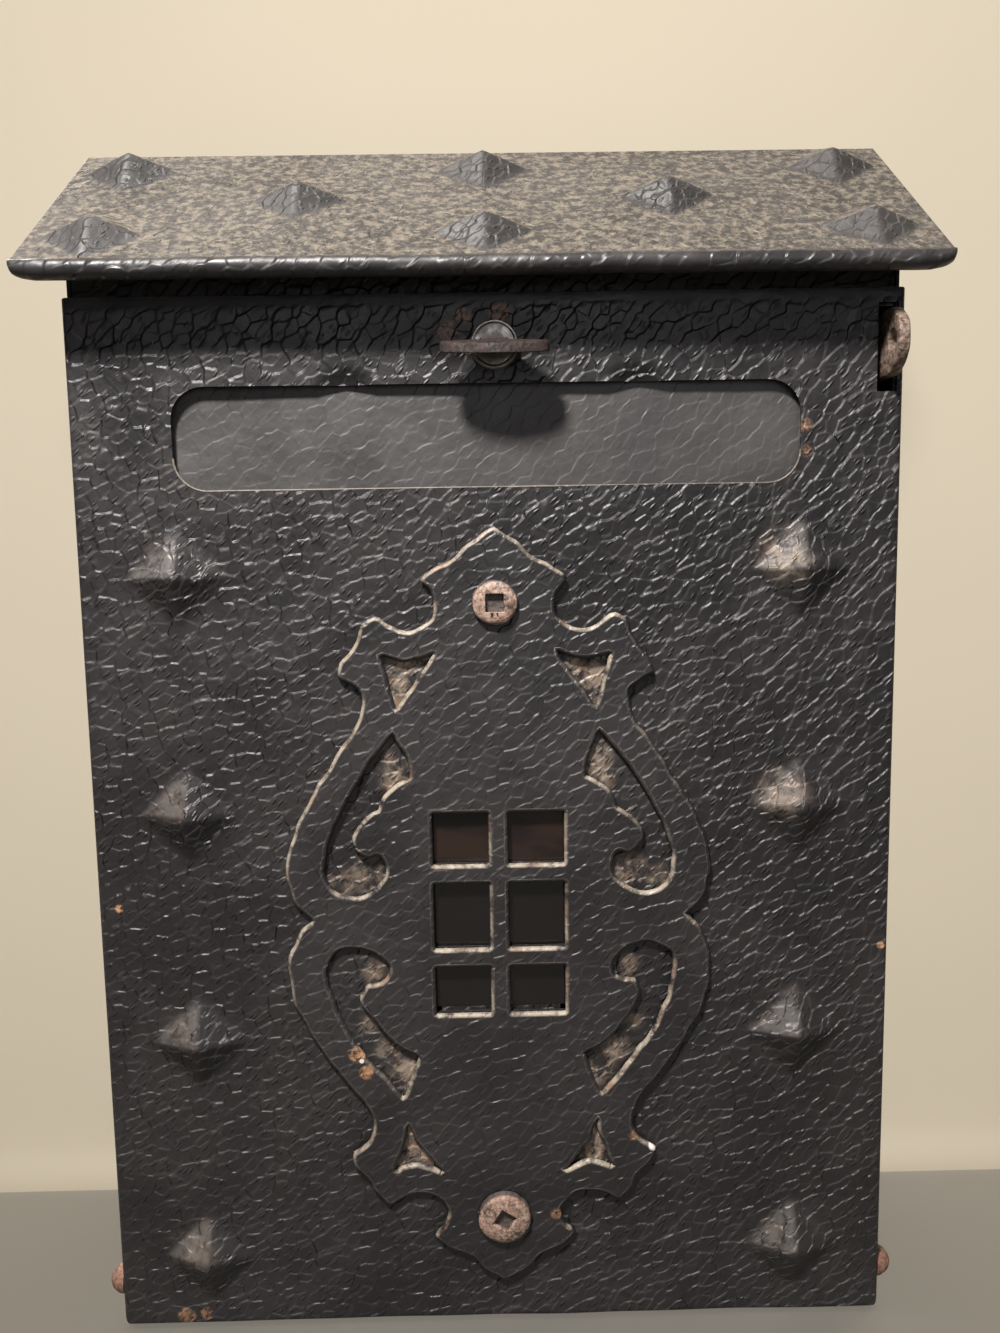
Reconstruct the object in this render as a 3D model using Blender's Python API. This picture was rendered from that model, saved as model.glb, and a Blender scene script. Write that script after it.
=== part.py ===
"""Wall letterbox of hammered sheet steel with a pitched roof and a drop-down front door.

The door is a folded pan hinged on two rivets near its lower edge. It carries a pierced
ornament plate with six small windows, a letter slot with a swinging flap, and a cam lock
with a winged turn. Everything stands on the plane z = 0 with the door facing -Y.
Sizes are in millimetres and become metres when a mesh is made.
"""
import math

import bmesh
import bpy

MM = 0.001

# Sheet and fits
SHEET = 1.2
SEAT_GAP = 0.3
RUNNING_GAP = 0.5

# Overall sizes
DOOR_WIDTH = 289.8
DOOR_BOTTOM = 1.5
DOOR_HEIGHT = 380.8
DOOR_CORNER_RADIUS = 3.0
DOOR_FLANGE = 16.0
BODY_DEPTH = 55.4
ROOF_OVERHANG = 19.8
ROOF_SIDE_OVERHANG = 9.1
ROOF_PITCH = 39.9
ROOF_CLEARANCE = 0.9
BEAD_RADIUS = 3.35
BEAD_RISE = 0.9
BEAD_TAPER_LENGTH = 10.0
BEAD_END_RADIUS = 1.4

# Pressed pyramid bosses
BOSS_HALF_DIAGONAL = 17.0
BOSS_HEIGHT = 7.0
DOOR_BOSS_ROWS = 4
DOOR_BOSS_INSET = 34.4
DOOR_BOSS_TOP_MARGIN = 96.3
DOOR_BOSS_BOTTOM_MARGIN = 27.4
ROOF_BOSS_SIDE_INSET = 22.3
ROOF_BOSS_FRONT_MARGIN = 23.5
ROOF_BOSS_BACK_MARGIN = 18.8

# Hinge of the door
PIVOT_BEHIND_FACE = 6.3
PIVOT_ABOVE_EDGE = 15.0
PIVOT_SHANK_RADIUS = 2.5
PIVOT_HEAD_RADIUS = 5.6
PIVOT_HEAD_HEIGHT = 6.2
PIVOT_TAIL_RADIUS = 4.4
PIVOT_TAIL_HEIGHT = 2.4
PIVOT_EAR_RADIUS = 4.8

# Body
FLOOR_ABOVE_PIVOT = 5.6
TRAY_LIP = 10.0
TOP_FLANGE = 10.0
RAIL_BELOW_DOOR_TOP = 6.0
RAIL_BEHIND_FACE = 2.0
RAIL_HEM = 2.8
RAIL_RETURN = 14.0
WALL_HOLE_RADIUS = 3.0
WALL_HOLE_SIDE_INSET = 42.0
WALL_HOLE_TOP_INSET = 40.0
WALL_HOLE_BOTTOM_INSET = 60.0

# Letter slot and flap
SLOT_WIDTH = 219.2
SLOT_HEIGHT = 35.6
SLOT_RADIUS = 11.5
SLOT_BELOW_TOP = 30.4
DIMPLE_HALF_WIDTH = 9.3
DIMPLE_HEIGHT = 4.7
DIMPLE_DEPTH = 1.6
DIMPLE_HALF_SPACING = 50.8
FLAP_SHEET = 0.8
FLAP_BEHIND_FACE = 3.2
FLAP_OVERLAP = 4.4
FLAP_SIDE_OVERLAP = 3.6
FLAP_TAB_WIDTH = 16.6
FLAP_PIN_ABOVE_SLOT = 7.6
FLAP_PIN_RADIUS = 1.0
KNUCKLE_WALL = 0.8
BRACKET_SHEET = 1.0
BRACKET_HEIGHT = 14.0
BRACKET_FOOT_WIDTH = 7.0

# Padlock staple and its slot in the door
STAPLE_SLOT_WIDTH = 7.0
STAPLE_SLOT_HEIGHT = 30.0
STAPLE_SLOT_BELOW_TOP = 5.2
STAPLE_SLOT_EDGE_INSET = 2.2
STAPLE_THICKNESS = 3.8
STAPLE_HEIGHT = 22.6
STAPLE_REACH = 13.0
STAPLE_TAIL = 30.0
STAPLE_HOLE_RADIUS = 3.4
STAPLE_RIVET_RADIUS = 1.8
STAPLE_RIVET_HEAD = 3.2
STAPLE_RIVET_HEAD_HEIGHT = 1.4
STAPLE_RIVET_SPACING = 7.5

# Ornament plate, drawn at its own size with x from the plate's middle line and z from its foot
PLATE_THICKNESS = 2.5
PLATE_WIDTH = 154.6
PLATE_BELOW_SLOT = 13.8
PLATE_ABOVE_EDGE = 15.8
FITTINGS_OFFSET = 1.4
DRAWN_WIDTH = 154.6
DRAWN_HEIGHT = 285.2
PLATE_EDGE_RUNS = [
    [(0.0, 285.2), (4.3, 282.3), (9.2, 279.6), (13.8, 274.6), (20.0, 271.6), (26.9, 267.0)],
    [(26.9, 267.0), (22.8, 263.0), (20.8, 258.0), (22.6, 253.3), (27.0, 250.0), (32.6, 249.1),
     (37.9, 251.4), (41.7, 255.3)],
    [(41.7, 255.3), (46.0, 252.4), (48.9, 246.6), (51.8, 241.3), (55.4, 237.0), (56.7, 233.1)],
    [(56.7, 233.1), (52.2, 230.8), (48.5, 228.0), (47.5, 223.9), (49.2, 217.2), (55.3, 208.2),
     (61.5, 198.5), (67.0, 189.5), (72.3, 180.0), (75.9, 170.0), (76.9, 160.5), (74.8, 151.0),
     (68.4, 144.0)],
    [(68.4, 144.0), (73.4, 138.6), (76.8, 130.5), (77.3, 120.5), (74.8, 109.0), (69.5, 98.5),
     (62.8, 88.0), (55.5, 78.5), (50.2, 70.6), (48.3, 63.5), (50.4, 57.6), (56.9, 53.2)],
    [(56.9, 53.2), (55.6, 48.0), (50.5, 42.4), (48.2, 37.2), (43.8, 31.4)],
    [(43.8, 31.4), (40.0, 34.2), (34.0, 36.4), (26.2, 35.0), (21.4, 29.5), (22.8, 23.6),
     (28.0, 19.9)],
    [(28.0, 19.9), (22.8, 15.2), (16.6, 12.3), (12.2, 9.6), (8.6, 5.4), (3.8, 3.0), (0.0, 0.0)],
]
UPPER_TRIANGLE_RUNS = [
    [(21.6, 241.2), (27.0, 239.0), (31.5, 238.5), (36.5, 239.3), (40.9, 240.4)],
    [(40.9, 240.4), (38.6, 232.0), (35.9, 220.8)],
    [(35.9, 220.8), (30.2, 228.8), (24.6, 236.4), (21.6, 241.2)],
]
UPPER_SCROLL_RUNS = [
    [(37.1, 212.4), (44.5, 203.5), (52.0, 192.0), (58.8, 179.0), (62.8, 167.5), (62.4, 159.0),
     (58.6, 154.0), (51.5, 152.6), (45.0, 155.6), (41.0, 161.6), (42.9, 167.8), (47.6, 167.4),
     (52.0, 169.6)],
    [(52.0, 169.6), (52.6, 175.0), (49.0, 180.6), (43.0, 184.4)],
    [(43.0, 184.4), (40.4, 191.0), (31.2, 196.2)],
    [(31.2, 196.2), (33.0, 204.4), (37.1, 212.4)],
]
LOWER_SCROLL_RUNS = [
    [(49.6, 119.4), (45.0, 119.7), (41.8, 121.4), (41.2, 126.0), (45.8, 131.4), (53.5, 133.2),
     (60.5, 131.2), (63.6, 125.5), (62.4, 116.5), (59.0, 106.5), (54.0, 96.6), (46.4, 86.4),
     (36.8, 75.0)],
    [(36.8, 75.0), (33.9, 82.0), (30.4, 91.2)],
    [(30.4, 91.2), (39.4, 96.0), (46.0, 104.0), (51.6, 112.4), (49.6, 119.4)],
]
LOWER_TRIANGLE_RUNS = [
    [(35.6, 64.8), (36.9, 57.4), (41.4, 45.4)],
    [(41.4, 45.4), (37.5, 47.4), (32.3, 48.4), (27.0, 47.2), (22.4, 45.1)],
    [(22.4, 45.1), (28.4, 51.4), (33.0, 58.0), (35.6, 64.8)],
]
WINDOW_WIDTH = 20.5
WINDOW_HEIGHTS = [19.3, 24.7, 18.1]
WINDOW_BAR = 6.9
WINDOW_TOP = 183.0

# Plate screws: height above the plate's foot, head radius
UPPER_SCREW = {"height": 258.7, "head_radius": 8.0}
LOWER_SCREW = {"height": 27.6, "head_radius": 10.0}
SCREW_SHANK_RADIUS = 3.0
SCREW_HOLE_RADIUS = 3.4
SCREW_HEAD_HEIGHT = 3.2
SCREW_RECESS = 6.4
SCREW_RECESS_DEPTH = 2.0
SCREW_PROUD = 2.0
NUT_RADIUS = 5.8
NUT_THICKNESS = 4.0

# Window pane and its clips
PANE_THICKNESS = 2.0
PANE_SIDE_OVERLAP = 5.0
PANE_TOP_OVERLAP = 5.0
PANE_BOTTOM_SHORT = 1.6
CLIP_SHEET = 0.8
CLIP_LIP = 4.0
CLIP_FOOT = 6.0
BOTTOM_CLIP_LENGTH = 44.0

# Lock
LOCK_BELOW_TOP = 17.9
LOCK_OFFSET = 2.8
BARREL_FLANGE_RADIUS = 8.3
BARREL_FLANGE_HEIGHT = 2.4
BARREL_BODY_RADIUS = 5.9
BARREL_BACK = 4.8
PLUG_HEAD_RADIUS = 7.0
PLUG_HEAD_DEPTH = 1.5
PLUG_SHANK_RADIUS = 4.0
KEYWAY_WIDTH = 9.6
KEYWAY_HEIGHT = 3.4
KEYWAY_DEPTH = 1.0
LOCK_NUT_RADIUS = 9.0
LOCK_NUT_THICKNESS = 2.8
CAM_THICKNESS = 2.0
CAM_HUB_RADIUS = 6.0
CAM_LENGTH = 21.0
CAM_SCREW_RADIUS = 1.5
CAM_SCREW_HEAD_RADIUS = 3.6
CAM_SCREW_HEAD_HEIGHT = 2.4
CAM_SCREW_LENGTH = 5.0
WING_WIDTH = 36.6
WING_BOW_DEPTH = 13.0
WING_THICKNESS = 4.0
WING_REACH = 16.6
WING_STEM_WIDTH = 11.0
WING_DROOP = 16.0

# Places that follow from the sizes
DEPTH = BODY_DEPTH + ROOF_OVERHANG
FACE_Y = ROOF_OVERHANG - DEPTH / 2
BACK_Y = DEPTH / 2
DOOR_TOP = DOOR_BOTTOM + DOOR_HEIGHT
DOOR_HALF = DOOR_WIDTH / 2
BODY_HALF = DOOR_HALF - SHEET - RUNNING_GAP
BODY_INNER = BODY_HALF - SHEET
DOOR_BACK_Y = FACE_Y + SHEET
BODY_FRONT_Y = DOOR_BACK_Y + 0.4
ROOF_HALF = DOOR_HALF + ROOF_SIDE_OVERHANG
PIVOT_Y = FACE_Y + PIVOT_BEHIND_FACE
PIVOT_Z = DOOR_BOTTOM + PIVOT_ABOVE_EDGE
SWEEP_RADIUS = math.hypot(PIVOT_BEHIND_FACE, PIVOT_ABOVE_EDGE) + RUNNING_GAP
FLOOR_Z = PIVOT_Z + FLOOR_ABOVE_PIVOT
SLOPE = math.tan(math.radians(ROOF_PITCH))
ROOF_DROP = SHEET / math.cos(math.radians(ROOF_PITCH))
SEAT_DROP = (SHEET + SEAT_GAP) / math.cos(math.radians(ROOF_PITCH))
BEAD_Y = FACE_Y - ROOF_OVERHANG + BEAD_RADIUS
BEAD_Z = DOOR_TOP + ROOF_CLEARANCE + BEAD_RADIUS
SLOT_TOP = DOOR_TOP - SLOT_BELOW_TOP
SLOT_BOTTOM = SLOT_TOP - SLOT_HEIGHT
PLATE_TOP = SLOT_BOTTOM - PLATE_BELOW_SLOT
PLATE_FOOT = DOOR_BOTTOM + PLATE_ABOVE_EDGE
PLATE_BACK_Y = FACE_Y - SEAT_GAP
PLATE_FACE_Y = PLATE_BACK_Y - PLATE_THICKNESS
LOCK_Z = DOOR_TOP - LOCK_BELOW_TOP
RAIL_Y = FACE_Y + RAIL_BEHIND_FACE
RAIL_FOOT_Z = DOOR_TOP - RAIL_BELOW_DOOR_TOP
FLAP_Y = FACE_Y + FLAP_BEHIND_FACE
FLAP_PIN_Y = FLAP_Y + FLAP_SHEET / 2
FLAP_PIN_Z = SLOT_TOP + FLAP_PIN_ABOVE_SLOT
STAPLE_Z = DOOR_TOP - STAPLE_SLOT_BELOW_TOP - STAPLE_SLOT_HEIGHT / 2 + 1.0
STAPLE_OUTER_X = BODY_INNER - SEAT_GAP


def roof_top_z(y):
    """Height of the roof sheet's top surface above a point y."""
    lean = math.radians(ROOF_PITCH)
    offset = BEAD_RADIUS - BEAD_RISE
    line_y = BEAD_Y - offset * math.sin(lean)
    line_z = BEAD_Z + offset * math.cos(lean)
    return line_z + (y - line_y) * SLOPE


def clear_scene():
    for item in list(bpy.data.objects):
        bpy.data.objects.remove(item, do_unlink=True)


def material(name, colour, roughness, metallic, alpha=1.0):
    found = bpy.data.materials.get(name)
    if found:
        return found
    made = bpy.data.materials.new(name)
    made.use_nodes = True
    shader = made.node_tree.nodes["Principled BSDF"]
    shader.inputs["Base Color"].default_value = (*colour, 1.0)
    shader.inputs["Roughness"].default_value = roughness
    shader.inputs["Metallic"].default_value = metallic
    shader.inputs["Alpha"].default_value = alpha
    return made


def black_paint():
    return material("hammered_black_paint", (0.035, 0.034, 0.036), 0.5, 0.2)


def rusted_steel():
    return material("rusted_steel", (0.20, 0.11, 0.07), 0.8, 0.4)


def zinc():
    return material("worn_zinc", (0.42, 0.41, 0.39), 0.45, 0.8)


def glass():
    return material("window_glass", (0.10, 0.08, 0.08), 0.1, 0.0, 0.35)


# Solids inside a bmesh

def add_prism(bm, axis, outline, low, high):
    """Closed prism over a plane outline. The outline holds (y, z), (x, z) or (x, y)."""
    def place(point, along):
        first, second = point
        if axis == "X":
            return (along, first, second)
        if axis == "Y":
            return (first, along, second)
        return (first, second, along)
    near = [bm.verts.new(place(point, low)) for point in outline]
    far = [bm.verts.new(place(point, high)) for point in outline]
    count = len(outline)
    faces = [bm.faces.new(near), bm.faces.new(far)]
    for index in range(count):
        after = (index + 1) % count
        faces.append(bm.faces.new((near[index], near[after], far[after], far[index])))
    return faces


def add_box(bm, x, y, z):
    add_prism(bm, "Z", [(x[0], y[0]), (x[1], y[0]), (x[1], y[1]), (x[0], y[1])], z[0], z[1])


def add_turned(bm, axis, centre, profile, segments=24):
    """Solid turned about an axis. The profile holds (radius, place on the axis)."""
    def place(radius, along, turn):
        first = centre[0] + radius * math.cos(turn)
        second = centre[1] + radius * math.sin(turn)
        if axis == "X":
            return (along, first, second)
        if axis == "Y":
            return (first, along, second)
        return (first, second, along)
    rings = []
    for radius, along in profile:
        if radius == 0.0:
            rings.append([bm.verts.new(place(0.0, along, 0.0))])
            continue
        turns = [2 * math.pi * index / segments for index in range(segments)]
        rings.append([bm.verts.new(place(radius, along, turn)) for turn in turns])
    for start, end in zip(rings, rings[1:]):
        for index in range(segments):
            after = (index + 1) % segments
            if len(start) == 1:
                bm.faces.new((start[0], end[index], end[after]))
            elif len(end) == 1:
                bm.faces.new((start[index], start[after], end[0]))
            else:
                bm.faces.new((start[index], start[after], end[after], end[index]))


def add_cylinder(bm, axis, centre, radius, low, high, segments=24):
    add_turned(bm, axis, centre, [(0.0, low), (radius, low), (radius, high), (0.0, high)], segments)


def add_pyramid(bm, base, apex):
    low = [bm.verts.new(point) for point in base]
    tip = bm.verts.new(apex)
    bm.faces.new(low)
    for index, vert in enumerate(low):
        bm.faces.new((vert, low[(index + 1) % len(low)], tip))


# Plane outlines

def circle(centre, radius, segments=24, start=0.0):
    turns = [start + 2 * math.pi * index / segments for index in range(segments)]
    return [(centre[0] + radius * math.cos(turn), centre[1] + radius * math.sin(turn)) for turn in turns]


def arc(centre, radius, start, end, steps):
    """Points on an arc between two angles in degrees, both ends included."""
    points = []
    for index in range(steps + 1):
        turn = math.radians(start + (end - start) * index / steps)
        points.append((centre[0] + radius * math.cos(turn), centre[1] + radius * math.sin(turn)))
    return points


def rounded_rectangle(x, z, radius, steps=5):
    corners = [((x[1] - radius, z[1] - radius), 0), ((x[0] + radius, z[1] - radius), 90),
               ((x[0] + radius, z[0] + radius), 180), ((x[1] - radius, z[0] + radius), 270)]
    points = []
    for centre, start in corners:
        points += arc(centre, radius, start, start + 90, steps)
    return points


def smooth_run(points, steps=3):
    """Catmull-Rom curve through the points, without its last one."""
    ends = [points[0]] + list(points) + [points[-1]]
    curve = []
    for index in range(1, len(ends) - 2):
        before, start, end, after = ends[index - 1:index + 3]
        for step in range(steps):
            t = step / steps
            pair = []
            for axis in (0, 1):
                slope_in = (end[axis] - before[axis]) / 2
                slope_out = (after[axis] - start[axis]) / 2
                pair.append((2 * t ** 3 - 3 * t ** 2 + 1) * start[axis] + (t ** 3 - 2 * t ** 2 + t) * slope_in
                            + (3 * t ** 2 - 2 * t ** 3) * end[axis] + (t ** 3 - t ** 2) * slope_out)
            curve.append(tuple(pair))
    return curve


def plate_place(point, side=1):
    """Turns a drawn point of the ornament plate into its place on the door."""
    x = FITTINGS_OFFSET + side * point[0] * PLATE_WIDTH / DRAWN_WIDTH
    z = PLATE_FOOT + point[1] * (PLATE_TOP - PLATE_FOOT) / DRAWN_HEIGHT
    return (x, z)


def plate_outline():
    half = [point for run in PLATE_EDGE_RUNS for point in smooth_run(run)]
    right = [plate_place(point) for point in half]
    left = [plate_place(point, -1) for point in half[1:]]
    foot = plate_place(PLATE_EDGE_RUNS[-1][-1])
    return right + [foot] + left[::-1]


def pierced_outline(runs, side):
    return [plate_place(point, side) for run in runs for point in smooth_run(run)]


def window_boxes():
    """The x and z spans of the six windows."""
    boxes = []
    top = plate_place((0.0, WINDOW_TOP))[1]
    for height in WINDOW_HEIGHTS:
        for side in (-1, 1):
            inner = FITTINGS_OFFSET + side * WINDOW_BAR / 2
            outer = inner + side * WINDOW_WIDTH
            boxes.append(((min(inner, outer), max(inner, outer)), (top - height, top)))
        top -= height + WINDOW_BAR
    return boxes


def door_boss_places():
    top = DOOR_TOP - DOOR_BOSS_TOP_MARGIN
    pitch = (top - DOOR_BOTTOM - DOOR_BOSS_BOTTOM_MARGIN) / (DOOR_BOSS_ROWS - 1)
    side = DOOR_HALF - DOOR_BOSS_INSET
    return [(x, top - row * pitch) for row in range(DOOR_BOSS_ROWS) for x in (-side, side)]


def roof_boss_places():
    """Places (x, s) of the roof bosses, with s measured up the slope from the bead's front."""
    length = DEPTH / math.cos(math.radians(ROOF_PITCH))
    front = ROOF_BOSS_FRONT_MARGIN
    back = length - ROOF_BOSS_BACK_MARGIN
    side = ROOF_HALF - ROOF_BOSS_SIDE_INSET
    rows = [(x, front) for x in (-side, 0.0, side)]
    rows += [(x, (front + back) / 2) for x in (-side / 2, side / 2)]
    rows += [(x, back) for x in (-side, 0.0, side)]
    return rows


# Objects

def finish_mesh(bm, name, paint, smooth_angle=None):
    bmesh.ops.recalc_face_normals(bm, faces=bm.faces)
    bmesh.ops.scale(bm, vec=(MM, MM, MM), verts=bm.verts)
    mesh = bpy.data.meshes.new(name)
    bm.to_mesh(mesh)
    bm.free()
    if paint:
        mesh.materials.append(paint)
    if smooth_angle is not None:
        mesh.shade_smooth()
        mesh.set_sharp_from_angle(angle=math.radians(smooth_angle))
    item = bpy.data.objects.new(name, mesh)
    bpy.context.scene.collection.objects.link(item)
    return item


def guide(bm, name):
    """Hidden solid that cuts or completes another one."""
    item = finish_mesh(bm, name, None)
    item.display_type = "WIRE"
    item.hide_render = True
    return item


def combine(item, other, operation):
    step = item.modifiers.new(operation.lower() + "_" + other.name, "BOOLEAN")
    step.operation = operation
    step.solver = "EXACT"
    step.object = other


def pivot_empty(name, point):
    empty = bpy.data.objects.new(name, None)
    empty.location = [value * MM for value in point]
    bpy.context.scene.collection.objects.link(empty)
    return empty


def hang(items, empty):
    """Parents items to an empty on the joint's axis, where they are."""
    for item in items:
        item.parent = empty
        item.location = [place - base for place, base in zip(item.location, empty.location)]


# Body

def swept_corner():
    """Side view of the space that the door's lower edge sweeps, clear of the ear round the pivot."""
    low = arc((PIVOT_Y, PIVOT_Z), SWEEP_RADIUS, -85, -17, 9)
    ear = arc((PIVOT_Y, PIVOT_Z), PIVOT_EAR_RADIUS, -90, -180, 6)
    return [(BODY_FRONT_Y - 3, PIVOT_Z), (BODY_FRONT_Y - 3, -5.0), (low[0][0], -5.0)] + low + ear


def body_shell():
    bm = bmesh.new()
    side = [(BODY_FRONT_Y, 0.0), (BACK_Y, 0.0), (BACK_Y, roof_top_z(BACK_Y) - SEAT_DROP),
            (BODY_FRONT_Y, roof_top_z(BODY_FRONT_Y) - SEAT_DROP)]
    add_prism(bm, "X", side, -BODY_HALF, BODY_HALF)
    shell = finish_mesh(bm, "body_shell", black_paint())

    bm = bmesh.new()
    inner_back = BACK_Y - SHEET
    drop = SEAT_DROP + ROOF_DROP
    hollow = [(BODY_FRONT_Y - 5, -5.0), (inner_back, -5.0), (inner_back, roof_top_z(inner_back) - drop),
              (BODY_FRONT_Y - 5, roof_top_z(BODY_FRONT_Y - 5) - drop)]
    add_prism(bm, "X", hollow, -BODY_INNER, BODY_INNER)
    combine(shell, guide(bm, "body_hollow"), "DIFFERENCE")

    bm = bmesh.new()
    flange_x = BODY_HALF - TOP_FLANGE
    add_box(bm, (-flange_x, flange_x), (BODY_FRONT_Y - 10, BACK_Y - TOP_FLANGE),
            (RAIL_FOOT_Z, roof_top_z(BACK_Y)))
    add_prism(bm, "X", swept_corner(), -BODY_HALF - 5, BODY_HALF + 5)
    combine(shell, guide(bm, "body_top_opening"), "DIFFERENCE")

    bm = bmesh.new()
    for z in (DOOR_TOP - WALL_HOLE_TOP_INSET, DOOR_BOTTOM + WALL_HOLE_BOTTOM_INSET):
        for x in (-BODY_HALF + WALL_HOLE_SIDE_INSET, BODY_HALF - WALL_HOLE_SIDE_INSET):
            add_cylinder(bm, "Y", (x, z), WALL_HOLE_RADIUS, BACK_Y - 5, BACK_Y + 5, 16)
    for side in (-1, 1):
        reach = sorted((side * (BODY_HALF - 5), side * (BODY_HALF + 5)))
        add_cylinder(bm, "X", (PIVOT_Y, PIVOT_Z), PIVOT_SHANK_RADIUS + SEAT_GAP, *reach, 16)
    for y in staple_rivet_places():
        add_cylinder(bm, "X", (y, STAPLE_Z), STAPLE_RIVET_RADIUS + SEAT_GAP,
                     BODY_HALF - 5, BODY_HALF + 5, 12)
    combine(shell, guide(bm, "body_holes"), "DIFFERENCE")
    return shell


def tray(name, x, y, z, sheet):
    """Folded tray that is open above."""
    bm = bmesh.new()
    add_box(bm, x, y, z)
    item = finish_mesh(bm, name, black_paint())
    bm = bmesh.new()
    add_box(bm, (x[0] + sheet, x[1] - sheet), (y[0] + sheet, y[1] - sheet), (z[0] + sheet, z[1] + 5))
    combine(item, guide(bm, name + "_hollow"), "DIFFERENCE")
    return item


def body_floor():
    half = BODY_INNER - SEAT_GAP
    return tray("body_floor", (-half, half), (RAIL_Y, BACK_Y - SHEET - SEAT_GAP),
                (FLOOR_Z, FLOOR_Z + TRAY_LIP), SHEET)


def front_rail():
    half = BODY_INNER - SEAT_GAP
    back = RAIL_Y + RAIL_RETURN
    drop = SEAT_DROP + ROOF_DROP + SEAT_GAP
    bm = bmesh.new()
    side = [(RAIL_Y, RAIL_FOOT_Z), (back, RAIL_FOOT_Z), (back, roof_top_z(back) - drop),
            (RAIL_Y, roof_top_z(RAIL_Y) - drop)]
    add_prism(bm, "X", side, -half, half)
    rail = finish_mesh(bm, "front_rail", black_paint())
    bm = bmesh.new()
    add_box(bm, (-half + SHEET, half - SHEET), (RAIL_Y + SHEET, back + 5),
            (RAIL_FOOT_Z + SHEET, roof_top_z(back) + 5))
    combine(rail, guide(bm, "rail_hollow"), "DIFFERENCE")
    bm = bmesh.new()
    add_box(bm, (-half + SHEET, half - SHEET), (RAIL_Y + RAIL_HEM, back + 6),
            (RAIL_FOOT_Z - 5, RAIL_FOOT_Z + 2 * SHEET))
    combine(rail, guide(bm, "rail_hem_cut"), "DIFFERENCE")
    return rail


# Roof

def bead_mesh():
    """Rolled front edge whose ends taper upwards."""
    bm = bmesh.new()
    ends = [index / 6 for index in range(7)]
    stations = [-ROOF_HALF + BEAD_TAPER_LENGTH * share for share in ends]
    stations += [ROOF_HALF - BEAD_TAPER_LENGTH * share for share in reversed(ends)]
    rings = []
    segments = 16
    top = BEAD_Z + BEAD_RADIUS
    for x in stations:
        share = min(1.0, (ROOF_HALF - abs(x)) / BEAD_TAPER_LENGTH)
        swell = math.sqrt(1 - (1 - share) ** 2)
        radius = BEAD_END_RADIUS + (BEAD_RADIUS - BEAD_END_RADIUS) * swell
        loop = circle((BEAD_Y, top - radius), radius, segments)
        rings.append([bm.verts.new((x, y, z)) for y, z in loop])
    for start, end in zip(rings, rings[1:]):
        for index in range(segments):
            after = (index + 1) % segments
            bm.faces.new((start[index], start[after], end[after], end[index]))
    bm.faces.new(rings[0])
    bm.faces.new(rings[-1])
    return bm


def roof_bosses(bm, sink, lift):
    """Pyramids on the roof. Sink is how far the base lies below the sheet's top, lift moves all up."""
    lean = math.radians(ROOF_PITCH)
    front_y = BEAD_Y - BEAD_RADIUS
    for x, s in roof_boss_places():
        def place(across, along, height):
            y = front_y + (s + along) * math.cos(lean) - height * math.sin(lean)
            z = roof_top_z(front_y) + (s + along) * math.sin(lean) + height * math.cos(lean)
            return (x + across, y, z)
        reach = BOSS_HALF_DIAGONAL * (BOSS_HEIGHT + sink + lift) / BOSS_HEIGHT
        base = [place(reach, 0, -sink), place(0, reach, -sink), place(-reach, 0, -sink),
                place(0, -reach, -sink)]
        add_pyramid(bm, base, place(0, 0, BOSS_HEIGHT + lift))


def roof():
    bm = bmesh.new()
    start = BEAD_Y + 0.2
    sheet = [(start, roof_top_z(start) - ROOF_DROP), (BACK_Y, roof_top_z(BACK_Y) - ROOF_DROP),
             (BACK_Y, roof_top_z(BACK_Y)), (start, roof_top_z(start))]
    add_prism(bm, "X", sheet, -ROOF_HALF, ROOF_HALF)
    item = finish_mesh(bm, "roof", black_paint(), 30)
    combine(item, guide(bead_mesh(), "roof_bead"), "UNION")
    bm = bmesh.new()
    roof_bosses(bm, SHEET / 2, 0.0)
    combine(item, guide(bm, "roof_boss_fronts"), "UNION")
    bm = bmesh.new()
    roof_bosses(bm, SHEET + 2, -ROOF_DROP)
    combine(item, guide(bm, "roof_boss_backs"), "DIFFERENCE")
    return item


# Padlock staple

def staple_rivet_places():
    first = FACE_Y + DOOR_FLANGE + 4.0
    return [first, first + STAPLE_RIVET_SPACING]


def padlock_staple():
    radius = STAPLE_HEIGHT / 2
    tip_y = FACE_Y - STAPLE_REACH
    nose = arc((tip_y + radius, STAPLE_Z), radius, 90, 270, 14)
    tail_y = FACE_Y + STAPLE_TAIL
    outline = nose + [(tail_y, STAPLE_Z - radius), (tail_y, STAPLE_Z + radius)]
    bm = bmesh.new()
    add_prism(bm, "X", outline, STAPLE_OUTER_X - STAPLE_THICKNESS, STAPLE_OUTER_X)
    item = finish_mesh(bm, "padlock_staple", rusted_steel())
    bm = bmesh.new()
    reach = (STAPLE_OUTER_X - STAPLE_THICKNESS - 3, STAPLE_OUTER_X + 3)
    add_cylinder(bm, "X", (FACE_Y - STAPLE_REACH / 2, STAPLE_Z), STAPLE_HOLE_RADIUS, *reach, 16)
    for y in staple_rivet_places():
        add_cylinder(bm, "X", (y, STAPLE_Z), STAPLE_RIVET_RADIUS + SEAT_GAP, *reach, 12)
    combine(item, guide(bm, "staple_holes"), "DIFFERENCE")
    return item


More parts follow.
